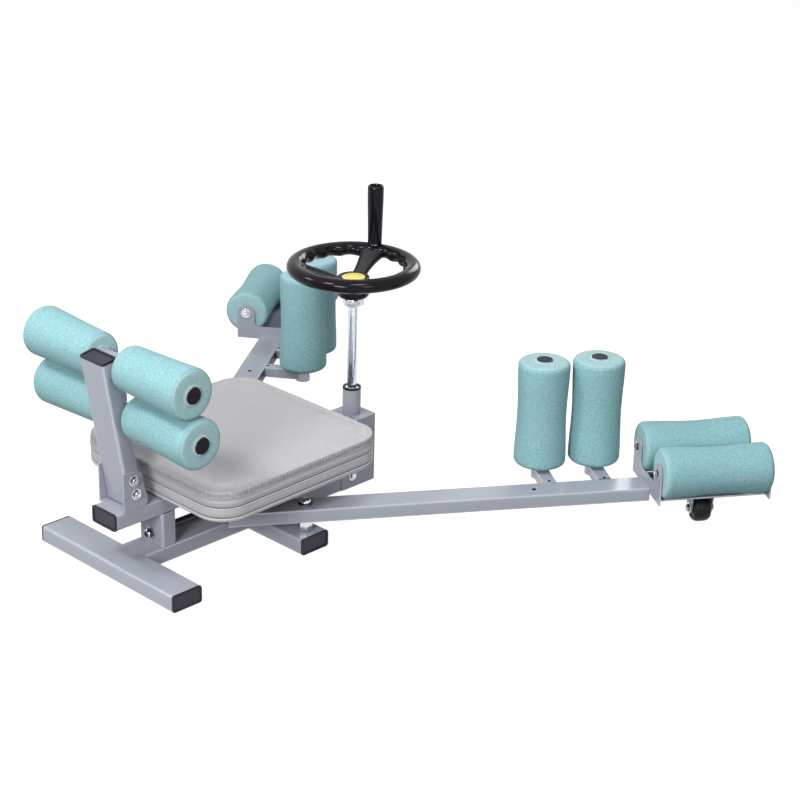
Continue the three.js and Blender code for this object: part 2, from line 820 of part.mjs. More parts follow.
function wheelTop(parent) {
  const wheel = new THREE.Group();
  wheel.position.x = shaftX;
  parent.add(wheel);
  piece('handwheel', handwheel(), bakelite, wheel);
  const badgeZ = hubBottomZ + hubTall - badgeRim;
  piece('hub_badge', rod(badgeRadius, 'z', badgeZ, badgeZ + badgeThick, foamSides), yellow, wheel);
  wheelHandle(wheel);
}

// Lead screw along X: rear nut and washer, journals, thread body and the front journal
function leadScrew() {
  const postRearX = -rearPostReach - tubeTall / 2 - clearance;
  const postFrontX = -rearPostReach + tubeTall / 2 + clearance;
  const gearTipX = shaftX - gearPitchRadius * gearFaceShare;
  const washerX = postRearX - screwWasherThick;
  const nut = hexagon(screwEndNutRadius, 'x', washerX - screwEndNutTall, washerX + clearance);
  const body = turned([
    [0, washerX], [screwWasherRadius, washerX], [screwWasherRadius, postRearX],
    [journalRadius, postRearX], [journalRadius, postFrontX], [screwRadius, postFrontX],
    [screwRadius, housingRearX - clearance], [journalRadius, housingRearX - clearance],
    [journalRadius, gearTipX], [0, gearTipX],
  ], 'x');
  return join(nut, body).translate(0, 0, screwZ);
}

function carriageRestX() {
  const reach = pivotSpacing / 2 - armPinRadius * Math.sin(legAngle) - linkPinOffset;
  return Math.sqrt(linkLength ** 2 - reach ** 2) - armPinRadius * Math.cos(legAngle);
}

function linkRestAngle() {
  const reach = pivotSpacing / 2 - armPinRadius * Math.sin(legAngle) - linkPinOffset;
  return Math.asin(reach / linkLength);
}

// Nut block on the screw, with the two headed pins that the links turn on
function nutCarriage() {
  const half = carriageLength / 2;
  const top = legTopZ + linkRun / 2;
  const body = block(-half, half, -carriageWide / 2, carriageWide / 2, tubeTall + carriageClear, top);
  const bore = rod(screwRadius + clearance, 'x', -half - overrun, half + overrun).translate(0, 0, screwZ);
  const headZ = legTopZ + linkRun + linkThick + clearance;
  const pins = sides.flatMap(({ out }) => [
    rod(linkPinRadius, 'z', top - overrun, headZ + clearance).translate(0, out * linkPinOffset, 0),
    rod(linkHeadRadius, 'z', headZ, headZ + linkHeadTall).translate(0, out * linkPinOffset, 0),
  ]);
  return join(cut(body, bore), ...pins);
}

// Link bar: an eye at its origin and the head of the arm pin at its far end, along -X
function linkBar() {
  const bottom = legTopZ + linkRun;
  const bar = sweep(
    oblong(THREE.Shape, linkLength + linkWide, linkWide, linkWide / 2),
    'z', bottom, bottom + linkThick, outlineSteps,
  ).translate(-linkLength / 2, 0, 0);
  const eye = rod(linkPinRadius + clearance, 'z', bottom - overrun, bottom + linkThick + overrun);
  const head = hexagon(linkHeadRadius, 'z', bottom + linkThick / 2, bottom + linkThick + linkHeadTall)
    .translate(-linkLength, 0, 0);
  return join(cut(bar, eye), head);
}

function leadScrewDrive(parent) {
  piece('lead_screw', leadScrew(), steel, parent);
  const gear = bevelGear().applyMatrix4(sweepFrames.x).rotateZ(Math.PI);
  piece('screw_bevel_gear', gear.translate(shaftX, 0, screwZ), castIron, parent);
  const carriage = nutCarriage().translate(carriageRestX(), 0, 0);
  piece('nut_carriage', carriage, castIron, parent);
  for (const { name, out } of sides) {
    const swing = new THREE.Group();
    swing.position.set(carriageRestX(), out * linkPinOffset, 0);
    swing.rotation.z = -out * linkRestAngle();
    parent.add(swing);
    piece(`link_${name}`, linkBar(), steel, swing);
  }
}

// Beam with two stubs on its inner side, each carrying an upright round post
function legBeam(out) {
  const beam = sweep(
    tubeSection(legWide, legTall, legWall, legCorner), 'x', -legInnerReach, legOuterReach - clearance,
  ).translate(0, 0, legBottomZ + legTall / 2);
  const postTopZ = legTopZ + postRollerLift + legRollerLength + rollerEndInset;
  const added = [];
  const removed = [
    rod(pivotRadius + clearance, 'z', legBottomZ - overrun, legTopZ + overrun),
    rod(beamHoleRadius, 'z', legTopZ - legWall - overrun, legTopZ + overrun)
      .translate(beamHoleReach, 0, 0),
  ];
  for (const reach of [firstPostReach, firstPostReach + postSpacing]) {
    const inner = -out * legWide / 2;
    const outer = -out * postOffset;
    const stubMiddleZ = legTopZ - stubTall / 2;
    const hollow = oblong(THREE.Shape, stubWide - 2 * stubWall, stubTall - 2 * stubWall, stubCorner / 2);
    const near = Math.min(inner, outer);
    const far = Math.max(inner, outer);
    const stub = sweep(oblong(THREE.Shape, stubWide, stubTall, stubCorner), 'y', near, far);
    const post = rod(postRadius, 'z', legTopZ - stubTall - postDrop, postTopZ);
    const stubHollow = sweep(
      hollow, 'y', near + (out > 0 ? postRadius : 0), far - (out > 0 ? 0 : postRadius),
    );
    const bore = rod(
      postRadius - postWall, 'z', legTopZ - stubTall - postDrop - overrun, postTopZ - postPlug,
    );
    const vent = rod(stubHoleRadius, 'z', stubMiddleZ, legTopZ + overrun);
    added.push(cut(stub, stubHollow).translate(reach, 0, stubMiddleZ));
    added.push(post.translate(reach, outer, 0));
    removed.push(bore.translate(reach, outer, 0));
    removed.push(vent.translate(reach, -out * (legWide / 2 + stubHoleOffset), 0));
  }
  return cut(join(beam, ...added), ...removed);
}

// Pivot bolt: nut inside the foot, spacer up to the leg, washer and button head on top
function pivotBolt() {
  const nutTop = tubeTall - tubeWall - clearance;
  const legSeat = legBottomZ - clearance;
  const washer = legTopZ + clearance;
  const head = washer + pivotWasherThick;
  return turned([
    [0, nutTop - pivotNutTall], [pivotNutRadius, nutTop - pivotNutTall], [pivotNutRadius, nutTop],
    [pivotRadius, nutTop], [pivotRadius, tubeTall + clearance],
    [pivotNutRadius, tubeTall + clearance], [pivotNutRadius, legSeat],
    [pivotRadius, legSeat], [pivotRadius, washer], [pivotWasherRadius, washer],
    [pivotWasherRadius, head], [pivotHeadRadius, head],
    [pivotHeadRadius, head + pivotHeadTall / 2], [pivotHeadRadius / 2, head + pivotHeadTall],
    [0, head + pivotHeadTall],
  ], 'z');
}

// Cradle end plate: two round ears with a dip between them
function cradleOutline() {
  const side = earOffset + earRadius;
  const inner = earOffset - earRadius;
  const dipZ = cradleBottomZ + cradleDip;
  const outline = new THREE.Shape();
  outline.moveTo(-side, cradleBottomZ);
  outline.lineTo(side, cradleBottomZ);
  outline.absarc(earOffset, earZ, earRadius, 0, Math.PI);
  outline.absarc(inner - cradleRound, dipZ + cradleRound, cradleRound, 0, -Math.PI / 2, true);
  outline.absarc(cradleRound - inner, dipZ + cradleRound, cradleRound, -Math.PI / 2, -Math.PI, true);
  outline.absarc(-earOffset, earZ, earRadius, 0, Math.PI);
  outline.closePath();
  return outline;
}

function cradle() {
  const start = legOuterReach;
  const end = legOuterReach + cradleLength;
  const plates = [
    sweep(cradleOutline(), 'x', start, start + cradleSheet, outlineSteps),
    sweep(cradleOutline(), 'x', end - cradleSheet, end, outlineSteps),
  ];
  const base = block(
    start, end, -cradleBaseWide / 2, cradleBaseWide / 2, cradleBottomZ, cradleBottomZ + cradleSheet,
  );
  const axles = sides.flatMap(({ out }) => [
    rod(axleRadius, 'x', start - axleHeadTall / 2, end + axleHeadTall / 2)
      .translate(0, out * earOffset, earZ),
    hexagon(axleHeadRadius, 'x', start - axleHeadTall, start + overrun)
      .translate(0, out * earOffset, earZ),
    hexagon(axleHeadRadius, 'x', end - overrun, end + axleHeadTall)
      .translate(0, out * earOffset, earZ),
  ]);
  return join(...plates, base, ...axles);
}

// Rigid caster fork with its axle bolt, and the wheel that turns on it
function casterFork() {
  const top = cradleBottomZ - clearance;
  const inner = wheelWide / 2 + forkGap;
  const outer = inner + forkSheet;
  const cheek = new THREE.Shape();
  cheek.moveTo(forkWide / 2, top);
  cheek.lineTo(-forkWide / 2, top);
  cheek.absarc(0, wheelRadius, forkFootRadius, Math.PI, 2 * Math.PI);
  cheek.closePath();
  const plate = block(-outer, outer, -forkWide / 2, forkWide / 2, top - forkSheet, top);
  const bolt = rod(forkBoltRadius, 'x', -outer - clearance, outer + clearance);
  const heads = [
    hexagon(forkBoltHeadRadius, 'x', -outer - forkBoltHeadTall, -outer + forkSheet / 2),
    hexagon(forkBoltHeadRadius, 'x', outer - forkSheet / 2, outer + forkBoltHeadTall),
  ];
  return join(
    plate,
    sweep(cheek, 'x', inner, outer, outlineSteps),
    sweep(cheek, 'x', -outer, -inner, outlineSteps),
    ...[bolt, ...heads].map((geometry) => geometry.translate(0, 0, wheelRadius)),
  );
}

function casterWheel() {
  const half = wheelWide / 2;
  const bore = forkBoltRadius + clearance;
  return ring([
    [bore, -half], [wheelRadius - wheelRound, -half], [wheelRadius, wheelRound - half],
    [wheelRadius, half - wheelRound], [wheelRadius - wheelRound, half], [bore, half],
  ], 'x', foamSides).translate(0, 0, wheelRadius);
}

function swingingLeg({ name, out }, parent) {
  const leg = new THREE.Group();
  leg.position.y = out * pivotSpacing / 2;
  leg.rotation.z = out * legAngle;
  parent.add(leg);
  piece(`leg_beam_${name}`, legBeam(out), paint, leg);
  piece(`pivot_bolt_${name}`, pivotBolt(), zinc, leg);
  const posts = { rear: firstPostReach, front: firstPostReach + postSpacing };
  for (const [place, reach] of Object.entries(posts)) {
    const roller = foamRoller(
      'z', postRadius + clearance, legRollerLength,
      postRollerEndRadius, postRollerWaistRadius, legRollerRound,
    );
    roller.translate(reach, -out * postOffset, legTopZ + postRollerLift);
    piece(`${place}_post_roller_${name}`, roller, foam, leg);
  }
  piece(`calf_cradle_${name}`, cradle(), paint, leg);
  const rollers = { outer: out * earOffset, inner: -out * earOffset };
  for (const [place, y] of Object.entries(rollers)) {
    const roller = foamRoller(
      'x', axleRadius + clearance, legRollerLength,
      calfRollerEndRadius, calfRollerWaistRadius, legRollerRound,
    );
    roller.translate(legOuterReach + (cradleLength - legRollerLength) / 2, y, earZ);
    piece(`${place}_calf_roller_${name}`, roller, foam, leg);
  }
  const fork = casterFork().translate(casterReach, 0, 0);
  piece(`caster_fork_${name}`, fork, zinc, leg);
  const wheel = casterWheel().translate(casterReach, 0, 0);
  piece(`caster_wheel_${name}`, wheel, tyreBlack, leg);
}

const machine = new THREE.Group();
machine.name = 'leg_stretching_machine';
floorFrame(machine);
upperFrame(machine);
backrest(machine);
seat(machine);
driveTower(machine);
wheelTop(machine);
leadScrewDrive(machine);
for (const side of sides) swingingLeg(side, machine);

export default machine;
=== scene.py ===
"""Leg stretching machine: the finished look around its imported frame, in metres."""

import json
from math import atan2, cos, degrees, hypot, pi, radians, sin

import bmesh
import bpy
import numpy as np
from mathutils import Matrix, Vector
from mathutils.bvhtree import BVHTree


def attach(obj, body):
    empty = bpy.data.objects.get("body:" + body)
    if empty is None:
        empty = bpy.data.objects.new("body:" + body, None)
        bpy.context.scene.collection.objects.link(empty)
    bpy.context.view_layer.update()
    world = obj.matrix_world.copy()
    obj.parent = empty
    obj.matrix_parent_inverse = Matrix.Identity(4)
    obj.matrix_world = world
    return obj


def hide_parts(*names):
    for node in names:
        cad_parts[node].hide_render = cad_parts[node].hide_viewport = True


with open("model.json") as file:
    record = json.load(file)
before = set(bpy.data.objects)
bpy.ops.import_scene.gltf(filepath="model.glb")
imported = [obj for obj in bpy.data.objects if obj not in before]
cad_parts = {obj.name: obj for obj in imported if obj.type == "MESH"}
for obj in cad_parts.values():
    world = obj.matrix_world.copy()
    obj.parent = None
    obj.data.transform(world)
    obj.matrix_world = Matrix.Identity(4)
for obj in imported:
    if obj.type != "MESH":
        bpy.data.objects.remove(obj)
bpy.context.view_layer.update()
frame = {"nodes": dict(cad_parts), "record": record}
NODES = frame["nodes"]
SCENE = bpy.context.scene
MM = 0.001
TURN = 2 * pi
SIDES = {"right": -1, "left": 1}

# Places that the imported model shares, in millimetres and degrees
LEG_ANGLE = 34.55
PIVOT_Y = 142.7
LEAN_ORIGIN = (-268.5, 0, 120.8)
LEAN_ANGLE = 9.8
CROSS_AXIS = 29.3
CROSS_HEIGHTS = {"lower": 160.5, "upper": 250}
CROSS_HALF = 193
POST_REACH = {"rear": 433.4, "front": 532.7}
POST_INWARD = 99.4
POST_TOP = 280
CRADLE_START = 600
CRADLE_END = 802
EAR_OFFSET = 57
EAR_Z = 122.5
CASTER_REACH = 703
SHAFT_X = 246.5
HANDLE_BEARING = 24
HANDLE_REACH = 102
RIM_RADIUS = 104
RIM_SECTION = (14.4, 12.2)
RIM_Z = 409
CUSHION_X = -39
RAIL_TOP = 120.8

# The photograph's viewpoint: its place, its yaw, pitch and roll in radians, and its lens
VIEW_PLACE = (-2075.42, -2348.22, 1544.07)
VIEW_ANGLES = (0.76462, 0.39750, 0.02601)
VIEW_LENS = 89.367

# Each lamp's place and aim in metres, its width and its power
LAMPS = {
    "key": ((-2.0, 0.3, 3.0), (0.1, 0, 0.2), 0.8, 46),
    "left": ((-2.9, -1.3, 1.6), (-0.1, -0.1, 0.2), 1.2, 78),
    "fill": ((-1.0, -3.5, 2.1), (0.1, -0.1, 0.2), 1.4, 30),
    "top": ((-0.4, -1.2, 3.3), (0.2, 0, 0.1), 1.0, 37),
    "far": ((-1.6, 2.0, 2.4), (0.3, 0.3, 0.15), 0.8, 28),
    "front": ((2.8, 0.8, 1.5), (0.2, 0, 0.2), 1.2, 22),
}
WORLD_LIGHT = 0.09
FLOOR_REACH = 12
FLOOR_DROP = 0.0006

# Foam: the bore, the length, and the sides: the first radius, the waist's depth, the far radius
BACK_FOAM = (14.2, 158, (43.0, 0.2, 37.5))
POST_FOAM = (14.2, 193, (46.0, 2.6, 45.6))
CALF_FOAM = (4.3, 193, (44.3, 3.3, 44.3))
FOAM_ROUNDING = 9
FOAM_FOOT = 85
CALF_GAP = 4.5
PLUG_RADIUS = 14.0

# The seat. An edge has its round's centre, the reach of the square in its place, and a power.
CUSHION_HALF = 186
CUSHION_CORNER = 52
HELD_HEIGHT = 13
PAD_SHRINK = 0.985
PAD_SINK = 1.6
PAD_VOXEL = 4.1
PUFF_CAP = 3.5
PUFF_STEPS = 20
PIPING = {"lower": 10.5, "upper": 28.5}
PIPING_RADIUS = 1.5
SEAM_HEIGHT = 57.0
SEAM_RADIUS = 0.9
STITCH_DROP = 4.5
UPPER_EDGE = ((-16, 43.5), (15.4, 14.8), 6)
LOWER_EDGE = ((-14, 17), (13.2, 13.4), 6)
FORWARD_RISE = 0.015

# Bolt heads and nuts: the radius over the corners, the height, the washer and the thread's end
BACK_BOLT = (7.0, 4.6, 1.1, 2.2)
HOUSING_BOLT = (6.2, 3.2, 0.9, 0.8)
CRADLE_BOLT = (7.2, 4.2, 1.1, 1.6)
FORK_BOLT = (7.4, 3.6, 0.9, 1.4)
SCREW_NUT = (8.6, 7.4, 0.2, 0.0)
BACK_BOLT_HEIGHTS = {"lower": 27.5, "upper": 53}
BACK_BOLT_OUT = 33.4
HOUSING_BOLT_PLACE = (220.5, 32.3, 23.5)
FORK_BOLT_OUT = 19.7
HUB_Z = 25
SCREW_Z = 48
SCREW_NUT_X = -221.8
THREAD_ENDS = (-188, 224)

# Inside the leg tube and its stubs, round the cradle's axles, and round the caster's bolt
LEG_INSIDE = (56.5, 79.5)
LEG_INSIDE_HALF = 24
STUB_START, STUB_INSIDE_HALF, STUB_LOW = 24.5, 11, 61
AXLE_MIDDLE, AXLE_HALF, AXLE_LOW = 701, 97.8, 80
FORK_OUTER, FORK_INNER, BOLT_TOP = 19.75, 17.1, 40


def added(name, data):
    """A new object, linked to the scene."""
    made = bpy.data.objects.new(name, data)
    SCENE.collection.objects.link(made)
    return made


def turned_to(*axis):
    """The turn that points a piece made along Z along another axis."""
    return Vector((0, 0, 1)).rotation_difference(Vector(axis)).to_matrix().to_4x4()


def at(x, y, z):
    return Matrix.Translation((x * MM, y * MM, z * MM))


def leg_frame(out):
    return at(0, out * PIVOT_Y, 0) @ Matrix.Rotation(radians(out * LEG_ANGLE), 4, "Z")


LEAN = at(*LEAN_ORIGIN) @ Matrix.Rotation(radians(-LEAN_ANGLE), 4, "Y")
WHEEL = at(SHAFT_X, 0, 0)


# Camera and lamps

def camera():
    """The photograph's viewpoint, fitted to the frame's straight edges."""
    yaw, pitch, roll = VIEW_ANGLES
    level = cos(pitch)
    forward = Vector((cos(yaw) * level, sin(yaw) * level, -sin(pitch)))
    right = Vector((sin(yaw), -cos(yaw), 0))
    up = right.cross(forward)
    across = right * cos(roll) + up * sin(roll)
    upward = up * cos(roll) - right * sin(roll)
    lens = bpy.data.cameras.new("camera")
    lens.lens = VIEW_LENS
    lens.clip_end = 50
    SCENE.camera = added("camera", lens)
    turn = Matrix((across, upward, -forward)).transposed().to_4x4()
    SCENE.camera.matrix_world = at(*VIEW_PLACE) @ turn


def lamp(name, place, aim, size, power):
    light = bpy.data.lights.new(name, "AREA")
    light.shape = "DISK"
    light.size = size
    light.energy = power
    made = added(name, light)
    made.location = place
    made.rotation_mode = "QUATERNION"
    made.rotation_quaternion = (Vector(aim) - Vector(place)).to_track_quat("-Z", "Y")
    made.visible_camera = False


# Nodes

def add_node(tree, kind, inputs=None, out=0, **settings):
    """A new node, set and linked. Gives the output asked for, or None where the node has none."""
    made = tree.nodes.new(kind)
    for key, value in settings.items():
        setattr(made, key, value)
    for key, value in (inputs or {}).items():
        if isinstance(value, Field):
            value = value.socket
        if isinstance(value, bpy.types.NodeSocket):
            tree.links.new(value, made.inputs[key])
        else:
            made.inputs[key].default_value = value
    return made.outputs[out] if made.outputs else None


class Field:
    """A shader socket that Python sums can use."""

    def __init__(self, finish, socket):
        self.finish = finish
        self.socket = socket

    def _sum(self, operation, *terms):
        return self.finish.node("Math", dict(enumerate(terms)), operation=operation)

    def __add__(self, other):
        return self._sum("ADD", self, other)

    def __mul__(self, other):
        return self._sum("MULTIPLY", self, other)

    def sine(self):
        return self._sum("SINE", self)

    def spread(self, low, high, to_low=0.0, to_high=1.0):
        """The field's stretch from low to high, laid over another one and kept inside it."""
        ends = {0: self, 1: low, 2: high, 3: to_low, 4: to_high}
        return self.finish.node("MapRange", ends, clamp=True)


class Finish:
    """A material, built node by node."""

    def __init__(self, name):
        self.material = bpy.data.materials.new(name)
        self.material.use_nodes = True
        self.tree = self.material.node_tree
        self.tree.nodes.clear()
        self.place = self.node("TexCoord", out="Object")

    def node(self, kind, inputs=None, out=0, **settings):
        return Field(self, add_node(self.tree, "ShaderNode" + kind, inputs, out, **settings))

    def noise(self, size, detail, stretch=(1, 1, 1)):
        """Soft noise whose lumps are about size millimetres across."""
        place = self.node("Mapping", {"Vector": self.place, "Scale": stretch})
        inputs = {"Vector": place, "Scale": 1 / (size * MM), "Detail": detail}
        return self.node("TexNoise", inputs)

    def cells(self, size, feature="F1"):
        inputs = {"Vector": self.place, "Scale": 1 / (size * MM)}
        return self.node("TexVoronoi", inputs, feature=feature)

    def attribute(self, name):
        return self.node("Attribute", out="Fac", attribute_name=name)

    def mix(self, share, first, second):
        return self.node("Mix", {0: share, 6: first, 7: second}, 2, data_type="RGBA")

    def bump(self, height, depth, strength, under=None):
        inputs = {"Height": height, "Distance": depth * MM, "Strength": strength}
        if under:
            inputs["Normal"] = under
        return self.node("Bump", inputs)

    def surface(self, **sockets):
        inputs = {key.replace("_", " "): value for key, value in sockets.items()}
        shader = self.node("BsdfPrincipled", inputs)
        self.node("OutputMaterial", {"Surface": shader})
        return self.material


def colour(red, green, blue, scale=1.0):
    """A colour given as the screen shows it, from 0 to 255."""
    def line(value):
        share = value / 255
        return scale * (share / 12.92 if share <= 0.04045 else ((share + 0.055) / 1.055) ** 2.4)
    return (line(red), line(green), line(blue), 1.0)


def silver_paint(name, lift, gloss, metal):
    """Silver grey lacquer. Lift brightens it, which the edge copy uses as a painted highlight."""
    f = Finish(name)
    fleck = f.noise(0.9, 1)
    cloud = f.noise(60, 3)
    tone = f.mix(fleck, colour(150, 154, 166, scale=lift), colour(168, 172, 184, scale=lift))
    return f.surface(
        Base_Color=tone, Metallic=metal, Roughness=cloud.spread(0.2, 0.8, gloss, gloss + 0.1),
        IOR=1.36, Coat_Weight=0.06, Coat_Roughness=0.12, Normal=f.bump(f.noise(4, 1), 0.03, 0.2),
    )


def moulded_black(name, shade, dull, index=1.36):
    f = Finish(name)
    grain = f.noise(0.35, 2)
    smudge = f.noise(14, 3)
    tone = f.mix(smudge.spread(0.35, 0.7), colour(*shade), colour(*shade, scale=1.5))
    rough = smudge.spread(0.3, 0.7, dull - 0.06, dull + 0.08)
    return f.surface(Base_Color=tone, Roughness=rough, IOR=index, Normal=f.bump(grain, 0.03, 0.35))


def teal_foam():
    """Foam rubber. The attribute lip makes the bore's rim paler, and the ends a little paler as
    painted light.
    """
    f = Finish("teal_foam")
    pores = f.cells(1.5).spread(0.1, 0.75)
    knots = f.noise(1.7, 3).spread(0.34, 0.66)
    nap = f.noise(4.5, 2).spread(0.35, 0.65)
    cloud = f.noise(38, 2).spread(0.3, 0.7)
    ground = f.mix(knots, colour(99, 150, 156), colour(156, 199, 204))
    napped = f.mix(nap * 0.25, ground, colour(152, 197, 202))
    shaded = f.mix(cloud * 0.2, napped, colour(132, 182, 187))
    tone = f.mix(f.attribute("lip") * 0.9, shaded, colour(222, 245, 245))
    return f.surface(
        Base_Color=tone, Roughness=knots.spread(0, 1, 0.85, 0.97), Sheen_Weight=0.08,
        Sheen_Roughness=0.5, Normal=f.bump(pores, 0.35, 0.45, f.bump(knots, 0.5, 0.6)),
    )


def seat_vinyl():
    """Grained vinyl. The attributes that sew() leaves gather its seams and paint shade along them
    and in their puckers.
    """
    f = Finish("seat_vinyl")
    grain = f.cells(1.5, "DISTANCE_TO_EDGE").spread(0.0, 0.3)
    drape = f.noise(30, 2)
    pucker = f.attribute("pucker")
    run = f.attribute("run") * 1300 + f.noise(9, 2) * 8
    cloud = f.noise(60, 3).spread(0.3, 0.7)
    tone = f.mix(cloud, colour(187, 186, 189), colour(196, 195, 198))
    creased = f.mix(grain, colour(168, 167, 171), tone)
    # Painted shade in the small folds under the upper seam
    fold = f.noise(5, 3).spread(0.35, 0.65) * pucker
    pucker_shaded = f.mix(fold * 0.6, creased, colour(146, 145, 150))
    # Painted shade above each piping and under the upper seam
    seam_shaded = f.mix(f.attribute("painted_seam_shade") * 0.85, pucker_shaded, colour(84, 82, 88))
    wrinkle = f.bump(run.sine() * pucker * 0.45 + f.noise(4, 3) * pucker * 1.8, 1.3, 0.75)
    soft = f.bump(drape, 0.8, 0.25, wrinkle)
    return f.surface(
        Base_Color=seam_shaded, Roughness=cloud.spread(0, 1, 0.46, 0.56), IOR=1.38, Sheen_Weight=0.05,
        Normal=f.bump(grain, 0.06, 0.4, soft),
    )


def bright_metal(name, shade, smooth, streak):
    f = Finish(name)
    stain = f.noise(9, 3).spread(0.35, 0.7)
    lines = f.noise(1.2, 2, streak)
    tone = f.mix(stain, colour(*shade), colour(*shade, scale=0.82))
    return f.surface(
        Base_Color=tone, Metallic=1.0, Roughness=lines.spread(0.25, 0.75, smooth, smooth + 0.14),
        Normal=f.bump(lines, 0.01, 0.3),
    )


def pebbled_black():
    f = Finish("pebbled_black")
    pebbles = f.cells(1.5)
    return f.surface(
        Base_Color=f.mix(pebbles.spread(0.0, 0.6), colour(40, 38, 43), colour(14, 13, 16)),
        Roughness=pebbles.spread(0, 0.7, 0.3, 0.5), Normal=f.bump(pebbles, 0.5, 0.7),
    )


def mottled(name, field, shades, band, rough, bump, grain=None, **more):
    """Two shades of one noise, which sets the roughness and, where there is no grain, the bumps."""
    f = Finish(name)
    spots = f.noise(*field)
    return f.surface(
        Base_Color=f.mix(spots.spread(*band), colour(*shades[0]), colour(*shades[1])),
        Roughness=spots.spread(*rough), Normal=f.bump(f.noise(*grain) if grain else spots, *bump),
        **more,
    )


PAINT = silver_paint("silver_paint", 1.0, 0.26, 0.06)
# A lighter, glossier copy of the paint for the strips along tube corners: a painted highlight
EDGE_HIGHLIGHT = silver_paint("silver_paint_highlight", 1.3, 0.14, 0.25)
BLACK = moulded_black("black_plastic", (20, 20, 23), 0.42)
CAP_FACE = moulded_black("cap_face", (42, 41, 52), 0.5)
PLUG_FACE = moulded_black("plug_face", (20, 20, 24), 0.55, 1.2)
FOAM = teal_foam()
VINYL = seat_vinyl()
WELT = mottled(
    "seat_welt", (1.2, 2), ((203, 203, 206), (184, 183, 187)), (0.3, 0.7), (0.3, 0.7, 0.4, 0.55),
    (0.1, 0.4), IOR=1.4,
)
ZINC = bright_metal("zinc_plate", (214, 219, 224), 0.18, (1, 1, 1))
# A darker copy of zinc: painted shade on bolt flanks, washer feet and thread ends; the pivot bolts'
# flanges take it too
SHADED = bright_metal("zinc_dark_and_painted_shade", (104, 107, 113), 0.24, (1, 1, 1))
CHROME = bright_metal("chrome", (206, 213, 224), 0.05, (1, 1, 0.05))
STEEL = bright_metal("oiled_steel", (88, 89, 93), 0.34, (0.1, 1, 1))
GLOSS = mottled(
    "glossy_black", (20, 4), ((12, 9, 14), (22, 18, 25)), (0, 1), (0.3, 0.75, 0.09, 0.19),
    (0.12, 0.2), (7, 1), IOR=1.24,
)
PEBBLE = pebbled_black()
YELLOW = mottled(
    "plain_yellow", (9, 3), ((246, 232, 128), (240, 222, 104)), (0, 1), (0.3, 0.7, 0.25, 0.4),
    (0.02, 0.3), (1.1, 2),
)
BOARD = mottled(
    "raw_board", (2.5, 5, (0.08, 1, 1)), ((150, 124, 90), (112, 88, 60)), (0.3, 0.7),
    (0, 1, 0.7, 0.9), (0.2, 0.5),
)
CAST = mottled(
    "cast_grey", (0.9, 4), ((70, 71, 75), (96, 97, 101)), (0.3, 0.7), (0.3, 0.7, 0.45, 0.65),
    (0.12, 0.5), Metallic=0.6,
)
TYRE = moulded_black("wheel_rubber", (15, 15, 17), 0.4, 1.28)


# Making and placing pieces

def round_at(reach, angle, height):
    """A place in metres, from a reach and a height in millimetres and a way round Z."""
    return (reach * cos(angle) * MM, reach * sin(angle) * MM, height * MM)


def fillet(points, radius, steps):
    """A profile with its inner corners rounded."""
    made = [points[0]]
    for before, corner, after in zip(points, points[1:], points[2:]):
        a, b, c = Vector(before), Vector(corner), Vector(after)
        reach = min(radius, (a - b).length * 0.45, (c - b).length * 0.45)
        start = b + (a - b).normalized() * reach
        end = b + (c - b).normalized() * reach
        for i in range(steps + 1):
            t = i / steps
            made.append(tuple(start * (1 - t) ** 2 + b * 2 * t * (1 - t) + end * t * t))
    return [*made, points[-1]]


def lathe(profile, segments, ring=False, hexed=(), second=()):
    """A profile of radius and height, in millimetres, turned about Z.

    Hexed points reach a hexagon's corners. The strips that follow second points take finish 1.
    """
    bm = bmesh.new()
    rings = []
    for place, (radius, height) in enumerate(profile):
        if radius < 1e-6:
            rings.append([bm.verts.new((0, 0, height * MM))])
            continue
        loop = []
        for i in range(segments):
            angle = TURN * i / segments
            reach = radius
            if place in hexed:
                reach *= cos(pi / 6) / cos(angle % (pi / 3) - pi / 6)
            loop.append(bm.verts.new(round_at(reach, angle, height)))
        rings.append(loop)
    after = rings[1:] + (rings[:1] if ring else [])
    for place, (lower, upper) in enumerate(zip(rings, after)):
        for i in range(segments):
            j = (i + 1) % segments
            below, above = len(lower), len(upper)
            corners = [lower[i % below], lower[j % below], upper[j % above], upper[i % above]]
            kept = list(dict.fromkeys(corners))
            if len(kept) > 2:
                bm.faces.new(kept).material_index = int(place in second)
    return bm


def mesh_of(bm, name, finishes=()):
    """The mesh of a bmesh, which goes, with its finishes."""
    mesh = bpy.data.meshes.new(name)
    bm.to_mesh(mesh)
    bm.free()
    for finish in finishes:
        mesh.materials.append(finish)
    return mesh


def joined(*parts):
    whole = bmesh.new()
    for part in parts:
        mesh = mesh_of(part, "part")
        whole.from_mesh(mesh)
        bpy.data.meshes.remove(mesh)
    return whole


def moved(bm, matrix):
    bm.transform(matrix)
    return bm


def place(made, body, slot, replaced=()):
    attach(made, body)
    if replaced:
        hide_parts(*replaced)
    return made


def piece(name, bm, finishes, body, slot, replaced=(), sharp=38):
    """A finished piece from a mesh in its place, smooth but for edges of over sharp degrees."""
    bmesh.ops.recalc_face_normals(bm, faces=bm.faces)
    for face in bm.faces:
        face.smooth = True
    for edge in bm.edges:
        edge.smooth = edge.calc_face_angle(0) < radians(sharp)
    finishes = finishes if isinstance(finishes, list) else [finishes]
    return place(added(name, mesh_of(bm, name, finishes)), body, slot, replaced)


def made_plain(source, name):
    """The evaluated shape of an object as a plain mesh object. The source goes."""
    graph = bpy.context.evaluated_depsgraph_get()
    mesh = bpy.data.meshes.new_from_object(source.evaluated_get(graph), depsgraph=graph)
    mesh.name = name
    bpy.data.objects.remove(source)
    return added(name, mesh)


def merged_copy(node):
    bm = bmesh.new()
    bm.from_mesh(NODES[node].data)
    bmesh.ops.remove_doubles(bm, verts=bm.verts, dist=2e-6)
    bmesh.ops.recalc_face_normals(bm, faces=bm.faces)
    return bm


def body_of(node):
    bodies = frame["record"]["behaviour"]["bodies"]
    return next(body for body, members in bodies.items() if node in members)


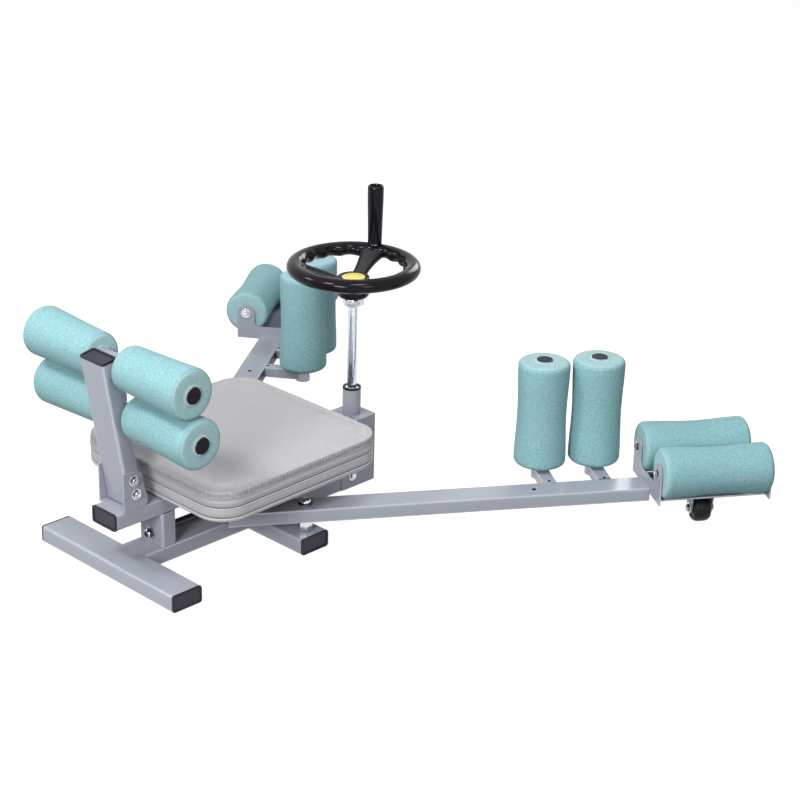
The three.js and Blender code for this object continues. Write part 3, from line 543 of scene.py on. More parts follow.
def refined(node, finishes, slot, bevel, accent=None, base=Matrix(), soft=0.0):
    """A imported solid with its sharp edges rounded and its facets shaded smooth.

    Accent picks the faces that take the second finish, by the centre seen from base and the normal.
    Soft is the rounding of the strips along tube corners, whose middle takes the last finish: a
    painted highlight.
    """
    bm = merged_copy(node)
    inward = base.inverted()
    bmesh.ops.dissolve_limit(bm, angle_limit=radians(0.6), verts=bm.verts, edges=bm.edges)
    weight = bm.edges.layers.float.new("bevel_weight_edge")
    width = max(bevel, soft)
    strips = set()
    for face in bm.faces:
        face.smooth = True
        longest = max(edge.calc_length() for edge in face.edges)
        if accent:
            centre = inward @ face.calc_center_median() / MM
            face.material_index = int(accent(centre, face.normal))
        if soft and face.calc_area() / longest < 6 * MM and longest > 20 * MM:
            strips.add(face)
            face.material_index = len(finishes) - 1
    for edge in bm.edges:
        angle = degrees(edge.calc_face_angle(0))
        if angle > 50:
            edge[weight] = bevel / width
        elif angle > 30 and strips.intersection(edge.link_faces):
            edge[weight] = soft / width
    source = added(node + "_source", mesh_of(bm, node + "_fine", finishes))
    round_edges = source.modifiers.new("round", "BEVEL")
    round_edges.width = width * MM
    round_edges.segments = 2
    round_edges.limit_method = "WEIGHT"
    even = source.modifiers.new("even", "WEIGHTED_NORMAL")
    even.keep_sharp = True
    place(made_plain(source, node + "_fine"), body_of(node), slot, [node])


def bolt_parts(radius, tall, washer, end):
    """A hexagon head or nut that stands on Z 0, with a washer under it and a thread end out of it.

    Its flanks, the foot of its washer and the side of its thread end take finish 1, a darker zinc
    that paints their shade.
    """
    flat = radius * cos(pi / 6)
    parts = [lathe([
        (0, washer), (radius, washer), (radius, washer + tall * 0.78), (flat * 0.93, washer + tall),
        (0, washer + tall),
    ], 48, hexed=(1, 2), second=(0, 1))]
    wide = radius * 1.35
    parts.append(lathe([
        (0, 0), (wide, 0), (wide, washer * 0.7), (wide - 0.5, washer), (radius * 1.06, washer),
        (radius * 0.9, washer), (0, washer),
    ], 40, second=(0,)))
    if end:
        top = washer + tall + end
        thread = radius * 0.52
        rise = top - end - 1
        parts.append(lathe([
            (0, rise), (thread + 0.7, rise + 1.05), (thread, rise + 1.2), (thread, top - 0.6),
            (thread - 0.6, top), (0, top),
        ], 32, second=(1, 2)))
    return parts


def bolt_set(places, size):
    """The parts of several bolt heads, each at a matrix whose Z points out of the work."""
    return [moved(part, matrix) for matrix in places for part in bolt_parts(*size)]


def bolts(name, parts, body, replaced=()):
    piece(name, joined(*parts), [ZINC, SHADED], body, "zinc", replaced, 30)


# Geometry Nodes

class Tree:
    """A Geometry Nodes tree with named inputs."""

    def __init__(self, name, **values):
        self.name = name
        self.tree = bpy.data.node_groups.new(name + "_tree", "GeometryNodeTree")
        sockets = self.tree.interface
        for way in ("INPUT", "OUTPUT"):
            sockets.new_socket("Geometry", in_out=way, socket_type="NodeSocketGeometry")
        self.values = values
        for key, value in values.items():
            kind = "NodeSocketInt" if isinstance(value, int) else "NodeSocketFloat"
            sockets.new_socket(key, in_out="INPUT", socket_type=kind)
        self.inputs = self.tree.nodes.new("NodeGroupInput")
        self.outputs = self.tree.nodes.new("NodeGroupOutput")

    def node(self, kind, inputs=None, out=0, **settings):
        return add_node(self.tree, "GeometryNode" + kind, inputs, out, **settings)

    def given(self, name):
        return self.inputs.outputs[name]

    def run(self, source, geometry, finish):
        """Ends the tree, runs it on an object and returns the plain result."""
        real = self.node("RealizeInstances", {0: geometry})
        shown = self.node("SetMaterial", {"Geometry": real, "Material": finish})
        self.tree.links.new(shown, self.outputs.inputs[0])
        modifier = source.modifiers.new("nodes", "NODES")
        modifier.node_group = self.tree
        for item in self.tree.interface.items_tree:
            if item.name in self.values:
                modifier[item.identifier] = self.values[item.name]
        return made_plain(source, self.name)


def path_object(points):
    """A closed path through points, as a mesh of edges."""
    mesh = bpy.data.meshes.new("path")
    count = len(points)
    edges = [(i, (i + 1) % count) for i in range(count)]
    mesh.from_pydata(points, edges, [])
    return added("path", mesh)


def corded(points, radius, finish, name):
    """A round cord along a closed path, such as piping."""
    t = Tree(name, Radius=radius * MM, Sides=12)
    curve = t.node("MeshToCurve", {0: t.given("Geometry")})
    shape = {"Resolution": t.given("Sides"), "Radius": t.given("Radius")}
    circle = t.node("CurvePrimitiveCircle", shape)
    cord = t.node("CurveToMesh", {"Curve": curve, "Profile Curve": circle})
    smooth = t.node("SetShadeSmooth", {0: cord})
    return t.run(path_object(points), smooth, finish)


def stitched(points, spacing, length, thick, finish, name):
    """Stitches along a closed path."""
    t = Tree(name, Spacing=spacing * MM, Length=length * MM, Thick=thick * MM)
    curve = t.node("MeshToCurve", {0: t.given("Geometry")})
    evenly = {"Curve": curve, "Length": t.given("Spacing")}
    spots = t.node("CurveToPoints", evenly, "Points", mode="LENGTH")
    ball = t.node("MeshUVSphere", {"Segments": 6, "Rings": 4, "Radius": 0.5})
    sizes = {"X": t.given("Thick"), "Y": t.given("Thick"), "Z": t.given("Length")}
    size = add_node(t.tree, "ShaderNodeCombineXYZ", sizes)
    turn = spots.node.outputs["Rotation"]
    placed = t.node("InstanceOnPoints", {
        "Points": spots, "Instance": ball, "Rotation": turn, "Scale": size,
    })
    return t.run(path_object(points), placed, finish)


def threaded(start, end, core, crest, lead, starts, finish, name):
    """A screw thread's ridges, wound about Z from start to end."""
    holder = path_object([(0, 0, start * MM), (0, 0, end * MM)])
    turns = (end - start) / lead
    t = Tree(name, Turns=turns, Radius=core * MM, Height=(end - start) * MM, Steps=28)
    radius = t.given("Radius")
    coil = t.node("CurveSpiral", {
        "Resolution": t.given("Steps"), "Rotations": t.given("Turns"), "Start Radius": radius,
        "End Radius": radius, "Height": t.given("Height"),
    })
    pitch = lead / starts * MM
    section = t.node("CurvePrimitiveQuadrilateral", {
        "Height": 2 * (crest - core) * MM, "Bottom Width": pitch * 0.62, "Top Width": pitch * 0.3,
        "Offset": 0.0,
    }, mode="TRAPEZOID")
    upright = t.node("Transform", {"Geometry": section, "Rotation": (0, 0, -pi / 2)})
    level = t.node("SetCurveNormal", {0: coil}, mode="Z_UP")
    wound = t.node("CurveToMesh", {"Curve": level, "Profile Curve": upright, "Fill Caps": True})
    both = t.node("JoinGeometry")
    for i in range(starts):
        copy = t.node("Transform", {
            "Geometry": wound, "Translation": (0, 0, start * MM),
            "Rotation": (0, 0, TURN * i / starts),
        })
        t.tree.links.new(copy, both.node.inputs[0])
    return t.run(holder, both, finish)


# Foam rollers

def roller_profile(bore, length, end_radius, waist, far_radius):
    """A roller: the bore's lip, a nearly flat end, a round shoulder, and a side with a waist."""
    rounding = FOAM_ROUNDING
    halves = []
    for radius in (end_radius, far_radius):
        lip = bore + 1.8
        flat = radius - rounding
        profile = [(bore, 3.0), (bore + 0.4, 0.2), (lip, -0.1), (lip + 0.9, 0.5)]
        for share in (0.3, 0.6, 0.85):
            profile.append((lip + (flat - lip) * share, 0.3 * share ** 3))
        for i in range(11):
            turn = pi / 2 * i / 10
            height = 0.3 + (rounding - 0.3) * (1 - cos(turn))
            profile.append((flat + rounding * sin(turn), height))
        halves.append(profile)
    side = []
    for i in range(1, 28):
        share = i / 28
        straight = end_radius + (far_radius - end_radius) * share
        drawn_in = waist * sin(pi * share) ** 2
        side.append((straight - drawn_in, rounding + (length - 2 * rounding) * share))
    first, second = halves
    return [*first, *side, *[(radius, length - height) for radius, height in reversed(second)]]


def foam_roller(node, matrix, bore, length, shape, seed):
    """A foam roller along Z from 0, its skin slightly uneven in a way that seed sets."""
    bm = lathe([*roller_profile(bore, length, *shape), (bore, length / 2)], 96, ring=True)
    lip = bm.verts.layers.float.new("lip")
    for vert in bm.verts:
        around = atan2(vert.co.y, vert.co.x)
        along = vert.co.z / (length * MM)
        reach = hypot(vert.co.x, vert.co.y)
        if reach < (bore + 2.5) * MM:
            vert[lip] = 1.0
            continue
        # The end faces take a little of the lip's paleness: painted light
        if min(vert.co.z, length * MM - vert.co.z) < 2 * MM:
            vert[lip] = 0.25
        swell = sin(2 * around + seed) * sin(3.1 * along + 1.7 * seed)
        swell += 0.5 * sin(5 * around - 2 * seed + 4 * along)
        grow = 1 + 0.35 * MM * swell / reach
        vert.co.x *= grow
        vert.co.y *= grow
    made = piece(node + "_foam", moved(bm, matrix), FOAM, body_of(node), "teal_foam", [node], 60)


def plug(name, matrix, body):
    """A plastic plug in a tube's end, with a rounded rim round a shallow dished face."""
    radius = PLUG_RADIUS
    disc = lathe(fillet([
        (0, -4), (radius - 2, -4), (radius - 2, 0.05), (radius, 0.05), (radius, 0.8),
        (radius - 1.4, 1.3), (radius - 2.4, 0.9), (0, 0.8),
    ], 0.4, 3), 64)
    piece(name, moved(disc, matrix), PLUG_FACE, body, "black_plastic")


def rollers():
    seed = 0.0
    for side, out in SIDES.items():
        leg = leg_frame(out)
        for level, height in CROSS_HEIGHTS.items():
            seed += 1.3
            tube = LEAN @ at(CROSS_AXIS, 0, height)
            outer = tube @ at(0, out * (CROSS_HALF - 2), 0) @ turned_to(0, -out, 0)
            foam_roller(f"{level}_back_roller_{side}", outer, *BACK_FOAM, seed)
            end = tube @ at(0, out * CROSS_HALF, 0) @ turned_to(0, out, 0)
            plug(f"{level}_tube_plug_{side}", end, "frame")
        for name, reach in POST_REACH.items():
            seed += 1.3
            post = leg @ at(reach, -out * POST_INWARD, 0)
            foot = post @ at(0, 0, FOAM_FOOT)
            foam_roller(f"{name}_post_roller_{side}", foot, *POST_FOAM, seed)
            plug(f"{name}_post_plug_{side}", post @ at(0, 0, POST_TOP), f"leg_{side}")
        for name, way in {"outer": out, "inner": -out}.items():
            seed += 1.3
            start = at(CRADLE_START + CALF_GAP, way * EAR_OFFSET, EAR_Z) @ turned_to(1, 0, 0)
            foam_roller(f"{name}_calf_roller_{side}", leg @ start, *CALF_FOAM, seed)


# Seat cushion

def outline(inset, count):
    """Points round the cushion's outline, drawn in by inset millimetres, and the ways out of it."""
    half, corner = CUSHION_HALF - inset, max(CUSHION_CORNER - inset, 8)
    straight = 2 * (half - corner)
    arc = corner * pi / 2
    total = 4 * (straight + arc)
    points = []
    for i in range(count):
        side, rest = divmod(total * i / count, straight + arc)
        if rest < straight:
            x, y, turn = half, rest - (half - corner), 0.0
        else:
            turn = (rest - straight) / corner
            x = half - corner + corner * cos(turn)
            y = half - corner + corner * sin(turn)
        spin = side * pi / 2
        c, s = cos(spin), sin(spin)
        way = turn + spin
        points.append((x * c - y * s + CUSHION_X, x * s + y * c, cos(way), sin(way)))
    return points


def puffed(source, cap):
    """The cloth run: the pad swells, its underside held, and no point moves further than cap."""
    held = source.vertex_groups.new(name="held")
    low = (RAIL_TOP + HELD_HEIGHT) * MM
    rest = np.array([v.co for v in source.data.vertices])
    held.add([i for i, p in enumerate(rest) if p[2] < low], 1.0, "REPLACE")
    cloth = source.modifiers.new("cloth", "CLOTH")
    cloth.settings.use_pressure = True
    cloth.settings.uniform_pressure_force = 4
    cloth.settings.effector_weights.gravity = 0
    cloth.settings.vertex_group_mass = "held"
    cloth.settings.quality = 4
    cloth.point_cache.frame_end = PUFF_STEPS
    for step in range(1, PUFF_STEPS + 1):
        SCENE.frame_set(step)
    made = made_plain(source, "seat_cushion_soft")
    SCENE.frame_set(1)
    points = np.array([v.co for v in made.data.vertices])
    shift = points - rest
    far = np.linalg.norm(shift, axis=1, keepdims=True)
    points = rest + shift * np.minimum(1, cap * MM / np.maximum(far, 1e-9))
    made.data.vertices.foreach_set("co", points.ravel())
    return made


def cushion():
    bm = merged_copy("seat_cushion")
    for vert in bm.verts:
        above = vert.co.z / MM - RAIL_TOP
        if above > HELD_HEIGHT:
            vert.co.x = CUSHION_X * MM + (vert.co.x - CUSHION_X * MM) * PAD_SHRINK
            vert.co.y *= PAD_SHRINK
            vert.co.z -= PAD_SINK * MM * min(1, (above - HELD_HEIGHT) / 40)
    source = added("pad", mesh_of(bm, "pad"))
    remesh = source.modifiers.new("even", "REMESH")
    remesh.mode = "VOXEL"
    remesh.voxel_size = PAD_VOXEL * MM
    source = made_plain(source, "pad_even")
    made = puffed(source, PUFF_CAP)
    finer = made.modifiers.new("finer", "SUBSURF")
    finer.levels = finer.render_levels = 1
    made = made_plain(made, "seat_cushion_soft")
    mesh = made.data
    sew(mesh)
    mesh.shade_smooth()
    mesh.materials.append(VINYL)
    place(made, "frame", "seat_vinyl", ["seat_cushion"])
    bm = bmesh.new()
    bm.from_mesh(mesh)
    skin = BVHTree.FromBMesh(bm)
    bm.free()
    for name, height in PIPING.items():
        path = touched(skin, 0, height, (1, 0), 0.7)
        place(corded(path, PIPING_RADIUS, WELT, f"{name}_piping"), "frame", "seat_vinyl")
    path = touched(skin, 3.0, SEAM_HEIGHT, (1, 1), -0.1, 0.4)
    place(corded(path, SEAM_RADIUS, VINYL, "seam_welt"), "frame", "seat_vinyl")
    path = touched(skin, 1.0, SEAM_HEIGHT - STITCH_DROP, (1, 0.1), -0.1)
    place(stitched(path, 4.6, 2.6, 0.9, WELT, "seam_stitches"), "frame", "seat_vinyl")


def squared(beyond, height, way, edge):
    """How much further out each point goes, to make a round edge square. Way is 1 up or -1 down."""
    (centre_out, centre_up), (wide, tall), power = edge
    across, upward = beyond - centre_out, (height - centre_up) * way
    turn = np.arctan2(np.maximum(upward, 0), np.maximum(across, 0))
    reach = np.maximum(np.hypot(across, upward), 1e-6)
    square = ((np.cos(turn) / wide) ** power + (np.sin(turn) / tall) ** power) ** (-1 / power)
    share = np.clip(5 * np.sin(2 * turn), 0, 1) * (across > 0) * (upward > 0) * (reach > 8)
    grow = share * (square / reach - 1)
    return across * grow, upward * grow * way


def touched(skin, inset, height, way, lift, waver=0.0):
    """Points on the skin, met from outside the outline, from level or from slantwise above."""
    level, drop = way
    points = []
    for i, (x, y, out_x, out_y) in enumerate(outline(inset, 640)):
        aim = Vector((-out_x * level, -out_y * level, -drop)).normalized()
        target = Vector((x, y, RAIL_TOP + height + FORWARD_RISE * (x - CUSHION_X))) * MM
        hit = skin.ray_cast(target - aim * 40 * MM, aim)[0] or target
        stray = waver * (sin(i * 0.9) * sin(i * 0.23) + 0.6 * sin(i * 2.1 + 1))
        points.append(hit - aim * lift * MM + Vector((0, 0, stray * MM)))
    return points


def ramp(values, start, over):
    """From 0 at start to 1 after over."""
    return np.clip((values - start) / over, 0, 1)


def ridge(values, centre, width):
    """1 at the centre, falling to 0 on both sides."""
    return np.exp(-(((values - centre) / width) ** 2))


def sew(mesh):
    """The seams' shape: square edges, a pinched upper seam, and a groove at each piping line.

    Each point's distance beyond the outline and height above the rail become reach and level, in
    millimetres. The attributes pucker, run and the seam shade are for the finish; the seam shade is
    painted shade above each piping and under the upper seam.
    """
    laps = 1440
    ring = np.array(outline(0, laps))
    points = np.array([v.co for v in mesh.vertices]) / MM
    count = len(points)
    pucker, run, painted_seam_shade = np.zeros((3, count), np.float32)
    edge = (np.abs(points[:, 0] - CUSHION_X) > 120) | (np.abs(points[:, 1]) > 120)
    near = np.maximum(np.abs(points[:, 0] - CUSHION_X), np.abs(points[:, 1])) > 158
    chosen = np.flatnonzero(edge & ((points[:, 2] > RAIL_TOP + 12) | near))
    for block in np.array_split(chosen, 80):
        gap = points[block, None, :2] - ring[None, :, :2]
        nearest = np.hypot(gap[..., 0], gap[..., 1]).argmin(axis=1)
        out = ring[nearest, 2:4]
        beyond = (gap[np.arange(len(block)), nearest] * out).sum(axis=1)
        height = points[block, 2] - RAIL_TOP
        reach, level = beyond, height
        for way, shape in ((1, UPPER_EDGE), (-1, LOWER_EDGE)):
            outward, upward = squared(reach, level, way, shape)
            reach, level = reach + outward, level + upward
        # The side stands nearly upright and bulges in two soft waves between its seams
        on_side = ramp(reach, -13, 3)
        flat = on_side * ramp(level, 7, 3) * ramp(level, 47, -6)
        wave = np.sin(ramp(level, 12, 15) * pi) * 0.8
        wave += np.sin(ramp(level, 29, 26) * pi) * 1.4
        reach += flat * (wave - 1.4 - reach)
        # Fine folds gather the cloth below and inside the upper seam
        around = nearest * TURN / laps
        fold = np.sin(around * 170 + 2.5 * np.sin(around * 31))
        below = ridge(level, 52.6, 1.8) * on_side
        inside = ridge(reach, -8.5, 2.6) * (level > 50)
        reach -= (1.1 + 0.25 * fold) * below
        # Each piping lies in a groove, with painted shade above it
        for line in PIPING.values():
            reach -= 1.7 * ridge(level, line + 0.6, 2.2) * on_side
            seam_shade = ridge(level, line + 2.6, 1.3) * on_side
            painted_seam_shade[block] = np.maximum(painted_seam_shade[block], seam_shade)
        # Painted shade under the upper seam as well
        painted_seam_shade[block] = np.maximum(painted_seam_shade[block], 0.4 * below)
        level -= (0.35 + 0.12 * fold) * inside
        points[block, :2] += out * (reach - beyond)[:, None]
        rise = FORWARD_RISE * (points[block, 0] - CUSHION_X) * ramp(level, 0, 10)
        points[block, 2] = RAIL_TOP + level + rise
        seam = np.hypot(reach + 2, level - 54)
        pucker[block] = np.exp(-((np.maximum(seam - 1, 0) / 3.2) ** 2))
        run[block] = nearest / laps
    others = np.setdiff1d(np.arange(count), chosen)
    above = ramp(points[others, 2], RAIL_TOP, 10)
    points[others, 2] += FORWARD_RISE * (points[others, 0] - CUSHION_X) * above
    mesh.vertices.foreach_set("co", (points * MM).ravel())
    for name, values in {"pucker": pucker, "run": run, "painted_seam_shade": painted_seam_shade}.items():
        mesh.attributes.new(name, "FLOAT", "POINT").data.foreach_set("value", values)
    mesh.update()


# Handwheel, handle and shaft

def rim():
    """The rim's oval ring, with finger bumps round its inner side."""
    steps, sides, lobes = 288, 40, 18
    wide, tall = RIM_SECTION
    bm = bmesh.new()
    rings = []
    for i in range(steps):
        around = TURN * i / steps
        loop = []
        for j in range(sides):
            turn = TURN * j / sides
            inner = max(0.0, cos(turn - radians(203))) ** 1.6
            share = 1 + inner * (0.22 - 0.3 * (0.5 - 0.5 * cos(lobes * around)) ** 0.8)
            reach = RIM_RADIUS + wide * share * cos(turn)
            height = RIM_Z + tall * share * sin(turn)
            loop.append(bm.verts.new(round_at(reach, around, height)))
        rings.append(loop)
    for loop, after in zip(rings, rings[1:] + rings[:1]):
        for j in range(sides):
            k = (j + 1) % sides
            bm.faces.new((loop[j], after[j], after[k], loop[k]))
    return bm


def spoke(bearing, depth):
    """A spoke that rises and widens to the rim, with a panel sunk to a depth in its upper face."""
    bm = bmesh.new()
    steps = 26
    rings = []
    for i in range(steps + 1):
        share = i / steps
        reach = 18 + 76 * share
        slope = (reach - 14.5) / (RIM_RADIUS - 14.5)
        top = 386 + 33.0 * slope - 1.5 * slope ** 3
        half = 12.5 + 11 * share ** 2
        thick = 13 - 3 * sin(pi * share)
        sunk = depth * ramp(reach, 32, 3) * ramp(reach, 86, -3)
        edge = [
            (half, -thick * 0.35), (half - 0.6, -0.8), (half - 1.6, 0), (half - 4, 0),
            (half - 5, -sunk), (half * 0.3, -sunk),
        ]
        section = [(-y, z) for y, z in edge] + edge[::-1]
        section += [(half - 2.5, -thick), (2.5 - half, -thick)]
        rings.append([bm.verts.new((reach * MM, y * MM, (top + z) * MM)) for y, z in section])
    count = len(rings[0])
    for lower, upper in zip(rings, rings[1:]):
        for j in range(count):
            k = (j + 1) % count
            face = bm.faces.new((lower[j], upper[j], upper[k], lower[k]))
            face.material_index = int(3 <= j <= 7)
    bm.faces.new(rings[0])
    bm.faces.new(rings[-1][::-1])
    return moved(bm, Matrix.Rotation(radians(bearing), 4, "Z"))


def handwheel():
    hub = lathe(fillet([
        (9, 353.6), (19, 353.2), (26, 355.5), (29, 361), (29, 386), (28, 391.5), (25, 392.2),
        (22.2, 392), (21, 390.1), (9, 390.1),
    ], 2.2, 5), 96, ring=True)
    depths = (1.2, 5.5, 5.5)
    spokes = [spoke(HANDLE_BEARING + 120 * i, depth) for i, depth in enumerate(depths)]
    whole = moved(joined(rim(), hub, *spokes), WHEEL)
    wheel = "handwheel_shaft"
    piece("handwheel_fine", whole, [GLOSS, PEBBLE], wheel, "black_bakelite", ["handwheel"], 42)
    disc = lathe(fillet([(0, 389.6), (20.4, 389.6), (20.4, 391.1), (0, 391.3)], 0.5, 3), 96)
    piece("hub_disc", moved(disc, WHEEL), YELLOW, wheel, "yellow_plastic", ["hub_badge"])
    stand = WHEEL @ Matrix.Rotation(radians(HANDLE_BEARING), 4, "Z") @ at(HANDLE_REACH, 0, 0)
    spindle = lathe(fillet([
        (0, 415), (5, 415), (5, 420), (9.6, 420), (9.6, 424.6), (8.8, 425.8), (5, 425.8), (5, 519),
        (0, 519),
    ], 0.5, 3), 48)
    piece("handle_spindle_fine", moved(spindle, stand), ZINC, wheel, "zinc", ["handle_spindle"])
    grip = lathe(fillet([
        (5.4, 426.3), (10.4, 426.3), (10.4, 422.2), (12.8, 422.2), (12.9, 428), (13.3, 455),
        (14.4, 500), (14.6, 525), (13.4, 529.6), (10.8, 530), (9.8, 526), (9.2, 518.5), (5.4, 518),
    ], 1.2, 5), 72, ring=True)
    grip = moved(grip, stand)
    piece("handle_grip_fine", grip, GLOSS, "grip", "black_bakelite", ["handle_grip"], 50)


def shaft():
    body = lathe(fillet([
        (0, 55.8), (5, 55.8), (5, 66.3), (8.5, 66.3), (8.5, 384), (7.5, 385.4), (0, 385.4),
    ], 0.4, 2), 72)
    piece("upright_shaft", moved(body, WHEEL), CHROME, "handwheel_shaft", "chrome", ["wheel_shaft"])
    corner = 19.5
    flat = corner * cos(pi / 6) * 0.97
    nut = lathe([
        (8.6, 339), (flat, 339), (corner, 340.7), (corner, 351.2), (flat, 353), (8.6, 353),
    ], 48, ring=True, hexed=(2, 3))
    piece("coupling_nut", moved(nut, WHEEL), ZINC, "handwheel_shaft", "zinc", (), 30)
    collar = lathe(fillet([
        (12.6, 131.6), (16.5, 131.6), (16.5, 179.4), (12.6, 179.4),
    ], 0.6, 3), 72, ring=True)
    piece("collar_tube", moved(collar, WHEEL), PAINT, "frame", "frame_paint", ["shaft_collar"])
    bush = lathe(fillet([
        (12.2, 158), (12.2, 181.5), (13.6, 183.4), (16.4, 183.4), (16.9, 181.5), (16.7, 179.5),
        (12.4, 179.2), (12.4, 158),
    ], 0.5, 3), 72, ring=True)
    piece("collar_bush_fine", moved(bush, WHEEL), BLACK, "frame", "black_plastic", ["collar_bush"])
    bearing = lathe(fillet([
        (8.9, 170), (12.0, 170), (12.0, 181.0), (10.6, 181.6), (8.9, 180.6),
    ], 0.4, 3), 60, ring=True)
    piece("collar_bearing", moved(bearing, WHEEL), ZINC, "frame", "zinc")


# Fasteners, casters, screw

def fasteners():
    for level, height in BACK_BOLT_HEIGHTS.items():
        spots = [
            LEAN @ at(0, way * BACK_BOLT_OUT, height) @ turned_to(0, way, 0) for way in (-1, 1)
        ]
        rod = lathe([(0, -33), (4, -33), (4, 33), (0, 33)], 32)
        lying = LEAN @ at(0, 0, height) @ turned_to(0, 1, 0)
        parts = [moved(rod, lying), *bolt_set(spots, BACK_BOLT)]
        bolts(f"back_bolt_{level}_fine", parts, "frame", [f"back_bolt_{level}"])
    x, y, z = HOUSING_BOLT_PLACE
    spots = [at(x, way * y, z) @ turned_to(0, way, 0) for way in (-1, 1)]
    bolts("housing_bolt_fine", bolt_set(spots, HOUSING_BOLT), "frame", ["housing_bolt"])
    for side, out in SIDES.items():
        pivot = at(0, out * PIVOT_Y, 0)
        lower = lathe([
            (0, 17.7), (8, 17.7), (8, 30.3), (11.6, 30.3), (12.4, 31.3), (12.4, 53.6),
            (11.6, 54.7), (8, 54.7), (8, 80.2), (0, 80.2),
        ], 48, hexed=(3, 4, 5, 6))
        flange = fillet([(0, 80.2), (12.6, 80.2), (12.6, 82.4), (9.2, 83.2), (0, 83.2)], 0.5, 3)
        flange = lathe(flange, 60, second=range(len(flange)))
        dome = lathe(fillet([
            (0, 82), (8.8, 82), (8.8, 85.3), (6.8, 88.3), (4.4, 88.7), (4.4, 84.5), (0, 84.2),
        ], 0.8, 4), 60)
        whole = moved(joined(lower, flange, dome), pivot)
        replaced = [f"pivot_bolt_{side}"]
        piece(f"pivot_bolt_{side}_fine", whole, [ZINC, SHADED], "frame", "zinc", replaced, 35)
        # A thin black disc on the socket's floor paints its shade
        socket = lathe([(0, 84.3), (4.2, 84.3), (4.2, 84.6), (0, 84.6)], 24)
        piece(f"pivot_socket_shade_{side}", moved(socket, pivot), BLACK, "frame", "black_plastic")
        leg = leg_frame(out)
        spots = []
        for offset in (-EAR_OFFSET, EAR_OFFSET):
            spots.append(leg @ at(CRADLE_START, offset, EAR_Z) @ turned_to(-1, 0, 0))
            spots.append(leg @ at(CRADLE_END, offset, EAR_Z) @ turned_to(1, 0, 0))
        bolts(f"cradle_bolts_{side}", bolt_set(spots, CRADLE_BOLT), f"leg_{side}")
        hub = leg @ at(CASTER_REACH, 0, HUB_Z)
        spots = [hub @ at(way * FORK_BOLT_OUT, 0, 0) @ turned_to(way, 0, 0) for way in (-1, 1)]
        bolts(f"fork_bolts_{side}", bolt_set(spots, FORK_BOLT), f"leg_{side}")


def casters():
    profile = [
        (4.3, -15.6), (9, -15.6), (9.6, -14.4), (15, -14.2), (16, -15.9), (17.5, -16), (21, -14.6),
        (23.6, -11.2), (24.8, -6.5), (25, 0),
    ]
    mirrored = [(radius, -height) for radius, height in reversed(profile[:-1])]
    for side, out in SIDES.items():
        hub = leg_frame(out) @ at(CASTER_REACH, 0, HUB_Z) @ turned_to(1, 0, 0)
        wheel = moved(lathe(profile + mirrored, 72, ring=True), hub)
        name = f"caster_wheel_{side}"
        piece(name + "_fine", wheel, TYRE, f"wheel_{side}", "wheel_tyre", [name])


def screw():
    lay = at(0, 0, SCREW_Z) @ turned_to(1, 0, 0)
    core = lathe(fillet([
        (0, -229.8), (5, -229.8), (5, -219.3), (5, -188.7), (5.55, -188.7), (5.55, 224.7),
        (5, 224.7), (5, 239), (0, 239),
    ], 0.2, 2), 40)
    end = at(SCREW_NUT_X, 0, SCREW_Z) @ turned_to(-1, 0, 0)
    washer = lathe(fillet([(5, -2.5), (10.2, -2.5), (10.2, 0), (5, 0)], 0.4, 2), 48, ring=True)
    piece("screw_core", moved(core, lay), STEEL, "screw", "bare_steel", ["lead_screw"], 30)
    bolts("screw_nut", [*bolt_set([end], SCREW_NUT), moved(washer, end)], "screw")
    thread = threaded(*THREAD_ENDS, 5.5, 6.4, 10, 2, STEEL, "screw_thread")
    thread.data.transform(lay)
    thread.data.shade_flat()
    place(thread, "screw", "bare_steel")


# Painted steel and plastic caps

def on_axle(spot, normal):
    """Faces of the cradle's axles and their ends, not of the bent plate."""
    outside = not CRADLE_START - 0.1 < spot.x < CRADLE_END + 0.1
    return outside or abs(spot.x - AXLE_MIDDLE) < AXLE_HALF and spot.z > AXLE_LOW


def painted_shade_in_tube(spot, normal):
    """Faces inside the leg's tube, or inside a stub that carries a post, which take black as
    painted shade.
    """
    beside = min(abs(spot.x - reach) for reach in POST_REACH.values())
    in_stub = abs(spot.y) > STUB_START and beside < STUB_INSIDE_HALF and spot.z > STUB_LOW
    return LEG_INSIDE[0] < spot.z < LEG_INSIDE[1] and (abs(spot.y) < LEG_INSIDE_HALF or in_stub)


def on_bolt(spot, normal):
    """Faces of the caster's bolt, not of the fork."""
    off = abs(spot.x - CASTER_REACH)
    return off > FORK_OUTER or off < FORK_INNER and spot.z < BOLT_TOP


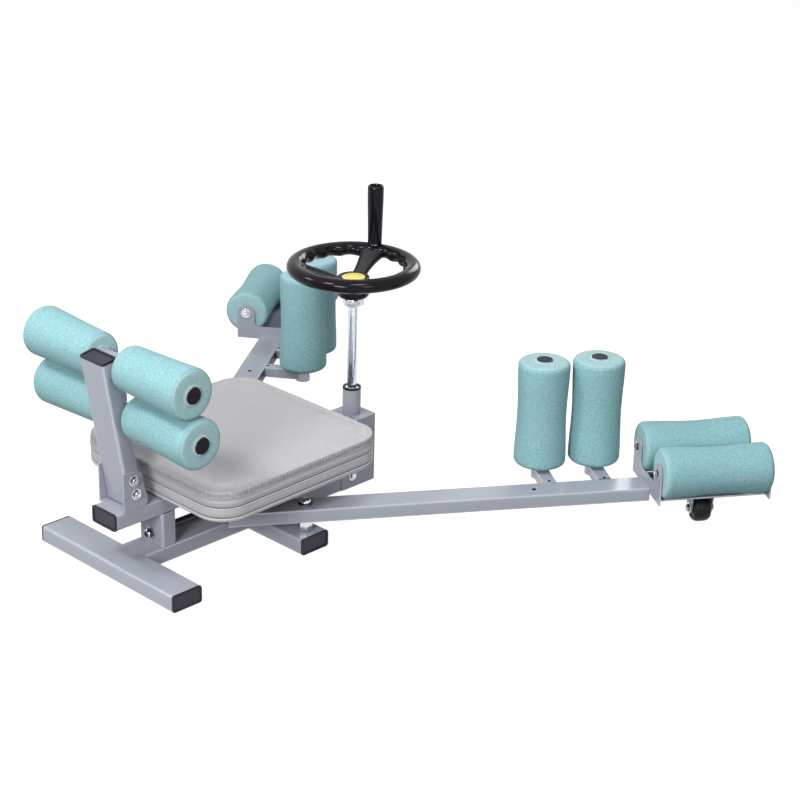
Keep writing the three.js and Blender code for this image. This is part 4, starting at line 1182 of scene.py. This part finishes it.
def steelwork():
    tubes = [
        "rear_foot", "front_foot", "rear_beam", "front_beam", "rear_post", "seat_rail", "back_post",
        "back_bracket", "gear_housing",
    ]
    # Each tube's corner strips take the painted highlight
    for node in tubes:
        refined(node, [PAINT, EDGE_HIGHLIGHT], "frame_paint", 0.6, soft=1.2)
    for level in CROSS_HEIGHTS:
        refined(f"{level}_cross_tube", [PAINT], "frame_paint", 0.6)
    for side, out in SIDES.items():
        leg = leg_frame(out)
        refined(f"calf_cradle_{side}", [PAINT, ZINC, EDGE_HIGHLIGHT], "frame_paint", 0.5, on_axle, leg, 0.5)
        # Black inside the leg's tube and its stubs paints their shade
        refined(f"leg_beam_{side}", [PAINT, BLACK, EDGE_HIGHLIGHT], "frame_paint", 0.6, painted_shade_in_tube, leg, 1.2)
        refined(f"caster_fork_{side}", [PAINT, ZINC], "zinc", 0.4, on_bolt, leg)
        refined(f"link_{side}", [ZINC], "bare_steel", 0.4)
    caps = {}
    for foot in ("rear", "front"):
        for side, out in SIDES.items():
            caps[f"{foot}_foot_cap_{side}"] = (0, out, 0)
    caps["seat_rail_cap"] = (-1, 0, 0)
    caps["back_post_cap"] = LEAN.to_3x3() @ Vector((0, 0, 1))
    for node, way in caps.items():
        out = Vector(way)
        far = max(out.dot(v.co) for v in NODES[node].data.vertices) / MM

        def sunk(centre, normal):
            """The shallow face inside a cap's rim."""
            return normal.dot(out) > 0.98 and 1.0 < far - centre.dot(out) < 2.2

        refined(node, [BLACK, CAP_FACE], "black_plastic", 0.6, sunk)
    refined("nut_carriage", [CAST], "cast_iron", 0.8)
    # These stay as packed and only take a better finish
    plain = {"seat_board": BOARD, "shaft_bevel_gear": CAST, "screw_bevel_gear": CAST}
    for node, finish in plain.items():
        NODES[node].data.materials.clear()
        NODES[node].data.materials.append(finish)


# Floor, world and lamps

def seen_by(tree, *kinds):
    """1 where the ray is of one of the kinds, else 0."""
    rays = add_node(tree, "ShaderNodeLightPath").node.outputs
    seen = rays[f"Is {kinds[0]} Ray"]
    for kind in kinds[1:]:
        either = {0: seen, 1: rays[f"Is {kind} Ray"]}
        seen = add_node(tree, "ShaderNodeMath", either, operation="MAXIMUM")
    return seen


def studio():
    """A floor and a sky that the eye and mirrors see as white, and that add little light."""
    mesh = bpy.data.meshes.new("floor")
    sides = ((-1, -1), (1, -1), (1, 1), (-1, 1))
    corners = [(x * FLOOR_REACH, y * FLOOR_REACH, -FLOOR_DROP) for x, y in sides]
    mesh.from_pydata(corners, [], [(0, 1, 2, 3)])
    floor = added("floor", mesh)
    f = Finish("pale_floor")
    seen = seen_by(f.tree, "Camera", "Glossy")
    lit = f.node("BsdfDiffuse", {"Color": (0.3, 0.3, 0.3, 1)})
    glow = f.node("Emission", {"Color": (1, 1, 1, 1), "Strength": 0.92})
    shown = f.node("AddShader", {0: lit, 1: glow})
    plain = f.node("BsdfDiffuse", {"Color": (0.15, 0.15, 0.15, 1)})
    mixed = f.node("MixShader", {0: seen, 1: plain, 2: shown})
    f.node("OutputMaterial", {"Surface": mixed})
    mesh.materials.append(f.material)
    world = bpy.data.worlds.new("studio")
    SCENE.world = world
    world.use_nodes = True
    tree = world.node_tree
    tree.nodes.clear()
    seen = seen_by(tree, "Camera", "Glossy", "Transmission")
    levels = {"Value": seen, "To Min": WORLD_LIGHT, "To Max": 1.0}
    strength = add_node(tree, "ShaderNodeMapRange", levels)
    white = {"Color": (1, 1, 1, 1), "Strength": strength}
    shell = add_node(tree, "ShaderNodeBackground", white)
    add_node(tree, "ShaderNodeOutputWorld", {"Surface": shell})
    for name, settings in LAMPS.items():
        lamp(name, *settings)
    SCENE.view_settings.view_transform = "Standard"


camera()
studio()
steelwork()
rollers()
cushion()
handwheel()
shaft()
fasteners()
casters()
screw()
